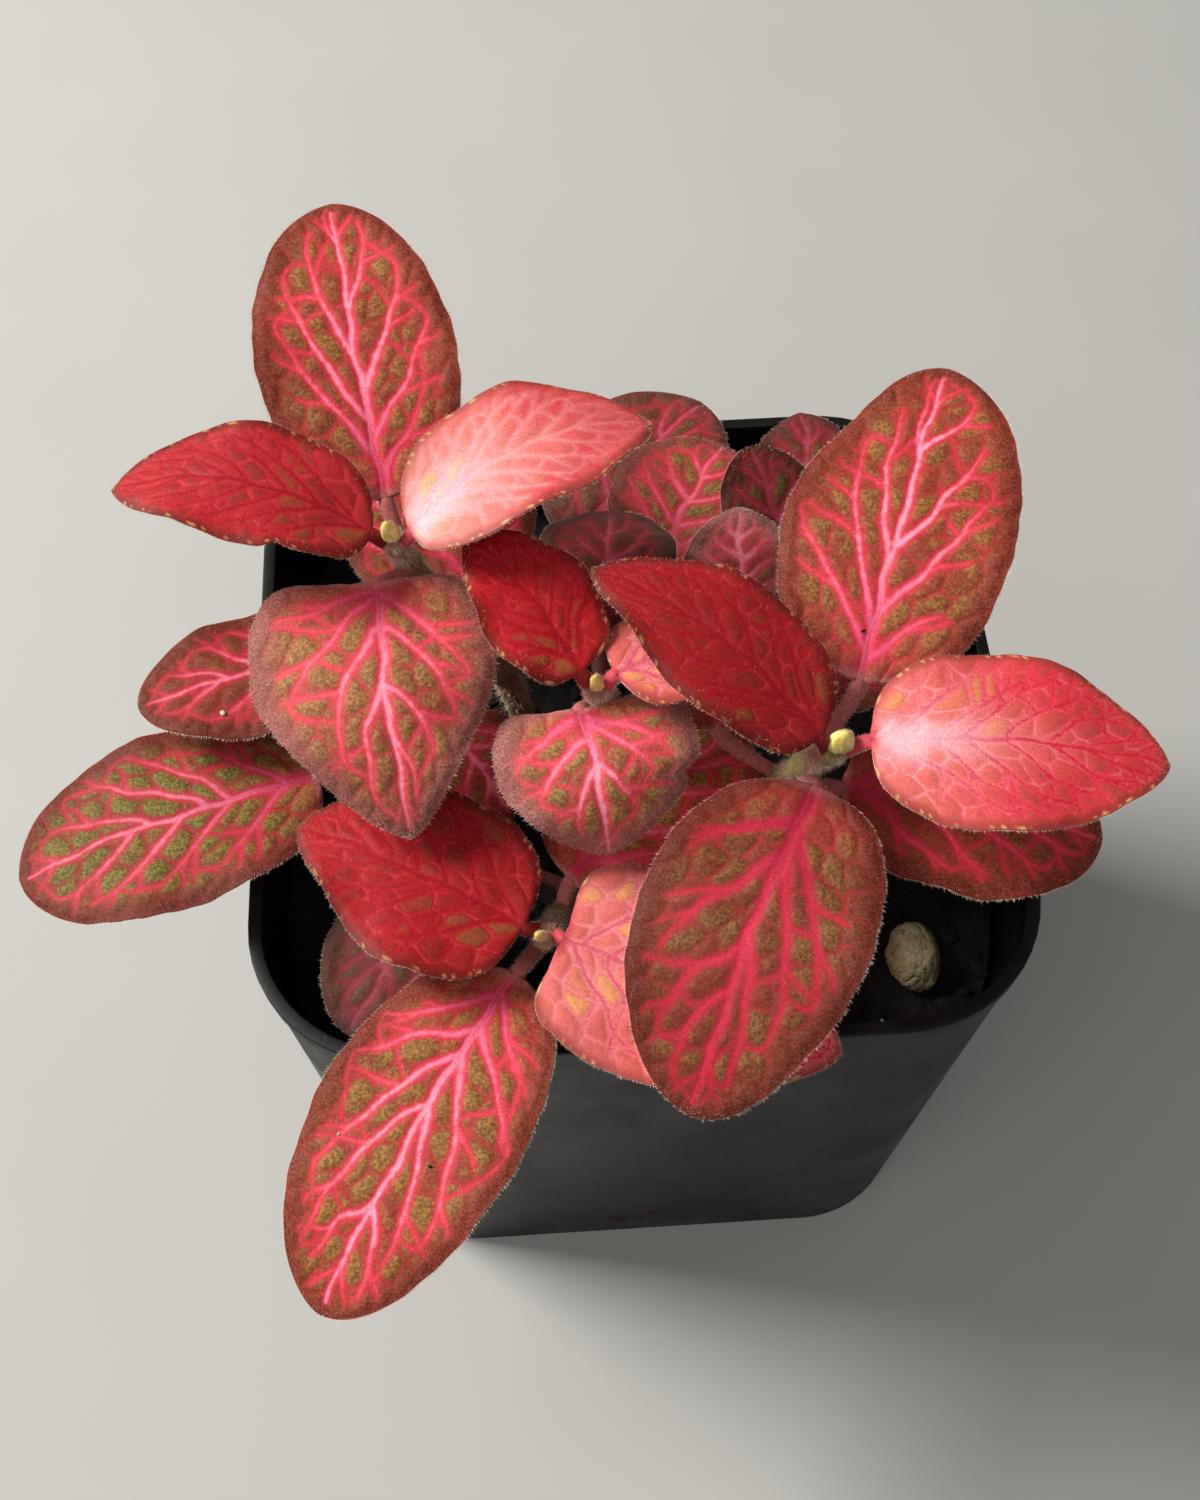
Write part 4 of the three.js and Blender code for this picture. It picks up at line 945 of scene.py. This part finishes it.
def make_leaf(index, name, item, hair, grains):
    """A blade and its stalk: a grid bent to the leaf's form, with veins, relief and a hairy edge."""
    rng = np.random.default_rng(SEED + index)
    phase = index * WAVE_STEP
    young = item.look == "young"
    spacing, stalk = SPACING[item.plain], STALK_ROWS
    blade = int(item.length / spacing * 1.15)
    rows, columns = blade + stalk, int(item.width / spacing / 2) * 2
    piece = made(bpy.ops.mesh.primitive_grid_add, x_subdivisions=columns, y_subdivisions=rows, size=2)
    start = places_of(piece) * MM
    row = np.rint((start[:, 1] + 1) / 2 * rows).astype(int)
    column = np.rint((start[:, 0] + 1) / 2 * columns).astype(int)
    order = row * (columns + 1) + column

    sides = -(np.arange(columns + 1) / columns * 2 - 1)
    even = np.arange(blade + 1) / blade
    share = lerp(0.5 - 0.5 * np.cos(math.pi * even), even, ROW_EVENNESS)
    shares, across = np.meshgrid(share, sides, indexing="ij")
    middle, aside = stalk_rows(item, np.arange(stalk) / stalk)
    ribbon = middle[:, None] + aside[:, None] * (across[:1] * PETIOLE_WIDTH / 2)[..., None]
    places = np.concatenate([ribbon, blade_point(item, shares, across, phase)])
    normals = unit(np.cross(np.gradient(places, axis=1), np.gradient(places, axis=0)))
    pattern = blade_pattern(name, item, shares, across, phase, rng)
    relief = blade_relief(item, shares, across, phase, pattern)
    places[stalk:] += normals[stalk:] * relief[..., None]
    move_to(piece, places.reshape(-1, 3)[order])

    for label, values in pattern.items():
        full = np.vstack([np.full((stalk, columns + 1), float(STALK_PATTERN[label])), values])
        layer = piece.data.attributes.new(label, "FLOAT", "POINT")
        layer.data.foreach_set("value", full.reshape(-1)[order].astype(np.float32))
    rim = pattern["rim"]
    blade_half = lerp(BLADE_THICKNESS, BLADE_THICKNESS * 0.55, smooth(1.2 - rim, 0, 1.2))
    thick = np.clip(1 - shares / PETIOLE_BLEND, 0, 1) * (1 - across ** 2)
    round_stalk = PETIOLE_THICKNESS * np.sqrt(1 - 0.97 * sides[None] ** 2)
    thickness = np.vstack([np.repeat(round_stalk, stalk, axis=0),
            lerp(blade_half, PETIOLE_THICKNESS, thick)])
    group = piece.vertex_groups.new(name="thickness")
    for vertex, weight in enumerate((thickness / PETIOLE_THICKNESS).reshape(-1)[order]):
        group.add([vertex], float(weight), "REPLACE")
    piece.data.materials.append((young_finish if young else mature_finish)(name, item))
    piece.data.materials.append(under_finish(name + "_under", young))
    solidify = piece.modifiers.new("thickness", "SOLIDIFY")
    solidify.thickness = PETIOLE_THICKNESS * MM
    solidify.offset = 0
    solidify.vertex_group = "thickness"
    solidify.material_offset = 1
    apply_modifiers(piece)
    piece.vertex_groups.clear()

    bits = [piece, margin_hairs(places[HAIRLESS_ROWS:], normals[HAIRLESS_ROWS:], young, hair, rng)]
    if not item.plain:
        bits.append(blade_hairs(places[stalk:], normals[stalk:], rim, hair, rng))
    for grain_share, grain_side, size, pale in GRAINS.get(name, ()):
        spot = blade_point(item, np.array(grain_share), np.array(grain_side), phase)
        bits.append(crumb(*(spot + [0, 0, 0.25]), size, grains[pale], rng))
    settle(join(bits, name), [name])


def margin_hairs(places, normals, young, hair, rng):
    """A fringe of short hairs along both edges and round the tip."""
    roots, ways = [], []
    for column, inner in ((0, 2), (-1, -3)):
        line = places[:, column]
        run = np.r_[0, np.cumsum(np.linalg.norm(np.diff(line, axis=0), axis=1))]
        stops = np.arange(0.2, run[-1], 0.2 if young else 0.14)
        stops = stops + rng.uniform(-0.06, 0.06, len(stops))
        root, inside, up = (np.c_[tuple(np.interp(stops, run, rows[:, k]) for k in range(3))]
                for rows in (line, places[:, inner], normals[:, column]))
        forward = unit(np.gradient(root, axis=0))
        out = unit(root - inside)
        lean = forward * rng.uniform(0.1, 0.7, (len(root), 1)) + up * rng.normal(0, 0.35, (len(root), 1))
        roots.append(root - out * 0.04)
        ways.append(unit(out + lean))
    roots, ways = np.concatenate(roots), np.concatenate(ways)
    return hair_piece(roots, ways, 0, (0.15, 0.45 if young else 0.6), 0.04, hair, rng)


def blade_hairs(places, normals, rim, hair, rng):
    """Sparse fine hairs on the blade, closer together towards its edge."""
    odds = (np.exp(-rim / 1.2) * smooth(rim, 0.1, 0.5) + 0.05).ravel()
    picks = rng.choice(odds.size, BLADE_HAIRS, p=odds / odds.sum())
    out, roots = normals.reshape(-1, 3)[picks], places.reshape(-1, 3)[picks]
    return hair_piece(roots + out * 0.15, out, 0.5, (0.25, 0.55), 0.012, hair, rng)


# ---------- pot ----------
def make_pot(plastic):
    """The moulded pot: a tapered box with round corners, hollowed, with a lip and drain holes."""
    piece = made(bpy.ops.mesh.primitive_cube_add, size=1)
    bpy.ops.object.mode_set(mode="EDIT")
    bpy.ops.mesh.select_all(action="SELECT")
    wall_width = RIM_WIDTH - 2 * LIP_STEP
    bpy.ops.transform.resize(value=(wall_width * MM, wall_width * MM, POT_HEIGHT * MM))
    bpy.ops.transform.translate(value=(0, 0, POT_HEIGHT / 2 * MM))

    def choose(mode, test):
        bpy.ops.mesh.select_mode(type=mode)
        bpy.ops.mesh.select_all(action="DESELECT")
        bpy.ops.object.mode_set(mode="OBJECT")
        data = piece.data
        if mode == "EDGE":
            for edge in data.edges:
                edge.select = test(*(data.vertices[v].co / MM for v in edge.vertices))
        else:
            for face in data.polygons:
                face.select = test(face.center / MM, face.normal)
        bpy.ops.object.mode_set(mode="EDIT")

    choose("EDGE", lambda a, b: abs(a.z - b.z) > 1)
    bpy.ops.mesh.bevel(offset=(RIM_CORNER - LIP_STEP) * MM, segments=12)
    choose("FACE", lambda middle, normal: normal.z < -0.5)
    taper = BASE_WIDTH / wall_width
    bpy.ops.transform.resize(value=(taper, taper, 1))
    choose("FACE", lambda middle, normal: normal.z > 0.5)
    bpy.ops.mesh.inset(thickness=POT_WALL * MM)
    bpy.ops.mesh.extrude_region_move(
            TRANSFORM_OT_translate={"value": (0, 0, (POT_FLOOR - POT_HEIGHT) * MM)})
    inside = (BASE_WIDTH - 2 * POT_WALL) / (wall_width - 2 * POT_WALL)
    bpy.ops.transform.resize(value=(inside, inside, 1))
    for height in (POT_HEIGHT - LIP_HEIGHT, POT_HEIGHT - LIP_HEIGHT + LIP_STEP):
        bpy.ops.mesh.select_all(action="SELECT")
        bpy.ops.mesh.bisect(plane_co=(0, 0, height * MM), plane_no=(0, 0, 1))
    bpy.ops.object.mode_set(mode="OBJECT")
    co = places_of(piece)
    middle = RIM_WIDTH / 2 - RIM_CORNER
    away = co[:, :2] - np.clip(co[:, :2], -middle, middle)
    outer = np.linalg.norm(away, axis=1) > RIM_CORNER - LIP_STEP - POT_WALL / 2
    lip = outer & (co[:, 2] > POT_HEIGHT - LIP_HEIGHT + LIP_STEP / 2)
    co[lip, :2] += unit(away[lip]) * LIP_STEP
    move_to(piece, co)
    for sx in (-1, 1):
        for sy in (-1, 1):
            drill = made(bpy.ops.mesh.primitive_cylinder_add, vertices=40, radius=DRAIN_RADIUS * MM,
                    depth=6 * MM, location=(sx * DRAIN_OFFSET * MM, sy * DRAIN_OFFSET * MM, 0))
            cut = piece.modifiers.new("drain", "BOOLEAN")
            cut.operation, cut.object = "DIFFERENCE", drill
            apply_modifiers(piece)
            bpy.data.objects.remove(drill)
    soften = piece.modifiers.new("soften", "BEVEL")
    soften.width, soften.segments, soften.limit_method = 0.22 * MM, 3, "ANGLE"
    soften.angle_limit = math.radians(35)
    apply_modifiers(piece)
    piece.name = piece.data.name = "nursery_pot"
    piece.data.materials.append(plastic)
    settle(piece, ["pot"], edge=40)


# ---------- potting mix ----------
def make_mix(earth, speck, rng):
    """Lumpy damp mix, smoother under the stone, strewn with bark and a few pale grains."""
    piece = made(bpy.ops.mesh.primitive_grid_add, x_subdivisions=150, y_subdivisions=150, size=2)
    co = places_of(piece) * MM
    share = MIX_LEVEL / POT_HEIGHT
    half = lerp(BASE_WIDTH, RIM_WIDTH, share) / 2 - POT_WALL - 0.1
    corner = lerp(BASE_CORNER, RIM_CORNER, share) - POT_WALL
    power = 5.2
    square = np.maximum(np.abs(co[:, 0]), np.abs(co[:, 1]))
    ring = (np.abs(co[:, 0]) ** power + np.abs(co[:, 1]) ** power) ** (1 / power)
    shrink = np.where(square > 0, square / np.maximum(ring, 1e-9), 1)
    x, y = co[:, 0] * shrink * half, co[:, 1] * shrink * half
    height = np.array([mix_height(a, b) for a, b in zip(x, y)])
    move_to(piece, np.c_[x, y, height])
    bpy.ops.object.mode_set(mode="EDIT")
    bpy.ops.mesh.select_all(action="SELECT")
    bpy.ops.mesh.region_to_loop()
    bpy.ops.mesh.extrude_region_move(TRANSFORM_OT_translate={"value": (0, 0, -3 * MM)})
    bpy.ops.mesh.extrude_region_move(TRANSFORM_OT_translate={"value": (0, 0, -58 * MM)})
    taper = (BASE_WIDTH - 2 * POT_WALL - 1) / (2 * half)
    bpy.ops.transform.resize(value=(taper, taper, 1))
    bpy.ops.mesh.edge_face_add()
    bpy.ops.mesh.select_all(action="SELECT")
    bpy.ops.mesh.normals_make_consistent(inside=False)
    bpy.ops.object.mode_set(mode="OBJECT")
    piece.data.materials.append(earth)
    bits = [piece]
    for i in range(CRUMBS):
        bx, by = rng.uniform(-half + 2, half - 2, 2)
        if np.hypot(max(abs(bx) - half + corner, 0), max(abs(by) - half + corner, 0)) > corner - 1.5:
            continue
        if np.hypot(bx - STONE_PLACE[0], by - STONE_PLACE[1]) < 5:
            continue
        pale = i % 40 == 0
        size = rng.uniform(0.15, 0.4) if pale else rng.uniform(0.5, 1.6)
        bits.append(crumb(bx, by, mix_height(bx, by), size, speck if pale else earth, rng))
    settle(join(bits, "potting_mix_surface"), ["potting_mix"])


def mix_height(x, y):
    spot = Vector((x, y, 3.0))
    lumps = 1.1 * noise.noise(spot * 0.22) + 0.6 * noise.noise(spot * 0.6) + 0.35 * noise.noise(spot * 1.7)
    level = smooth(np.hypot(x - STONE_PLACE[0], y - STONE_PLACE[1]), 3.5, 8)
    return MIX_LEVEL + lumps * (0.3 + 0.7 * level)


def crumb(x, y, z, size, finish, rng):
    """One bit of bark or a pale grain."""
    piece = made(bpy.ops.mesh.primitive_ico_sphere_add, subdivisions=2, radius=1)
    co = places_of(piece) * MM
    shift = rng.uniform(0, 50)
    rough = np.array([1 + 0.45 * noise.noise(Vector(p) * 1.3 + Vector((shift, 0, 0))) for p in co])
    flat = (rng.uniform(0.8, 1.5), rng.uniform(0.5, 0.9), rng.uniform(0.3, 0.7))
    turn = Matrix.Rotation(rng.uniform(0, 6.28), 3, "Z") @ Matrix.Rotation(rng.normal(0, 0.3), 3, "X")
    co = (co * rough[:, None] * size * flat) @ np.array(turn).T
    move_to(piece, co + (x, y, z + size * 0.15))
    piece.data.materials.append(finish)
    return piece


# ---------- stone ----------
def make_stone(pumice):
    """A rough egg of pumice with pits, flat where it lies."""
    piece = made(bpy.ops.mesh.primitive_ico_sphere_add, subdivisions=6, radius=1)
    co = places_of(piece) * MM
    rough = []
    for p in co:
        v = Vector(p)
        pits = min(0, noise.noise(v * 4.6 + Vector((7, 0, 0))) + 0.22)
        rough.append(1 + 0.16 * noise.noise(v * 1.5) + 0.06 * noise.noise(v * 3.7) + 0.22 * pits
                + 0.02 * noise.noise(v * 14))
    co = co * np.array(rough)[:, None] * (np.array(STONE_SIZE) / 2)
    foot = -STONE_SIZE[2] / 2 * 0.75
    co[:, 2] = np.where(co[:, 2] < foot, foot + (co[:, 2] - foot) * 0.1, co[:, 2])
    move_to(piece, co + (*STONE_PLACE, MIX_LEVEL + 0.1 - foot))
    piece.name = piece.data.name = "pumice"
    piece.data.materials.append(pumice)
    settle(piece, ["pumice_stone"], edge=80)


# ---------- camera, light and floor ----------
def make_camera():
    data = bpy.data.cameras.new("camera")
    data.sensor_fit = "AUTO"
    data.lens = data.sensor_width * FOCAL / PHOTO_HEIGHT
    data.clip_start = 0.01
    camera = linked("camera", data)
    yaw, tilt, roll = (math.radians(a) for a in (CAMERA_YAW, 90 - CAMERA_PITCH, CAMERA_ROLL))
    camera.matrix_world = (Matrix.Translation(Vector(CAMERA_PLACE) * MM) @ Matrix.Rotation(yaw, 4, "Z")
            @ Matrix.Rotation(tilt, 4, "X") @ Matrix.Rotation(roll, 4, "Z"))
    bpy.context.scene.camera = camera


def make_light(name, place, size, power, tint):
    """A soft lamp that shines on the plant."""
    data = bpy.data.lights.new(name, "AREA")
    data.size, data.energy, data.color = size, power, tint
    lamp = linked(name, data)
    lamp.location = place
    lamp.rotation_euler = (PLANT_MIDDLE - Vector(place)).to_track_quat("-Z", "Y").to_euler()


def make_floor():
    floor = made(bpy.ops.mesh.primitive_plane_add, size=6)
    floor.name = "floor"
    floor.data.materials.append(cloudy_finish("floor", "a9aaa7", "b1b2af", 60, 3, roughness=0.8,
            specular=0.2))


# ---------- the whole plant ----------
make_camera()
make_floor()
make_light("window", (-0.80, 0.28, 0.85), 0.45, 21.5, (1, 0.96, 0.91))
make_light("fill", (-0.25, -0.55, 0.80), 0.9, 2.7, (1, 0.98, 0.96))
world = bpy.context.scene.world or bpy.data.worlds.new("world")
bpy.context.scene.world = world
world.use_nodes = True
sky = world.node_tree.nodes["Background"].inputs
sky["Color"].default_value = (1, 0.98, 0.96, 1)
sky["Strength"].default_value = 0.21
bpy.context.scene.view_settings.view_transform = "Standard"

plant_hair = cloudy_finish("plant_hair", "c9a08c", "f0dcc8", 1.5, roughness=0.6, sheen=0.2, specular=0.3,
        subsurface=0.1)
stem_skin, bud_skin, earth = stem_finish(), bud_finish(), mix_finish()
pale_grain = cloudy_finish("pale_grain", "8f8674", "c9c2b2", 0.6, roughness=0.8)
grains = {True: pale_grain, False: earth}

make_pot(pot_finish())
make_mix(earth, pale_grain, np.random.default_rng(SEED))
make_stone(stone_finish())
for number, stem_name in enumerate(STEMS):
    maker = np.random.default_rng(SEED * 7 + number)
    make_stem(stem_name, stem_skin, plant_hair, maker)
    make_bud(stem_name, bud_skin, plant_hair, maker)
for number, (leaf_name, leaf_item) in enumerate(LEAVES.items()):
    make_leaf(number, leaf_name, leaf_item, plant_hair, grains)

select()
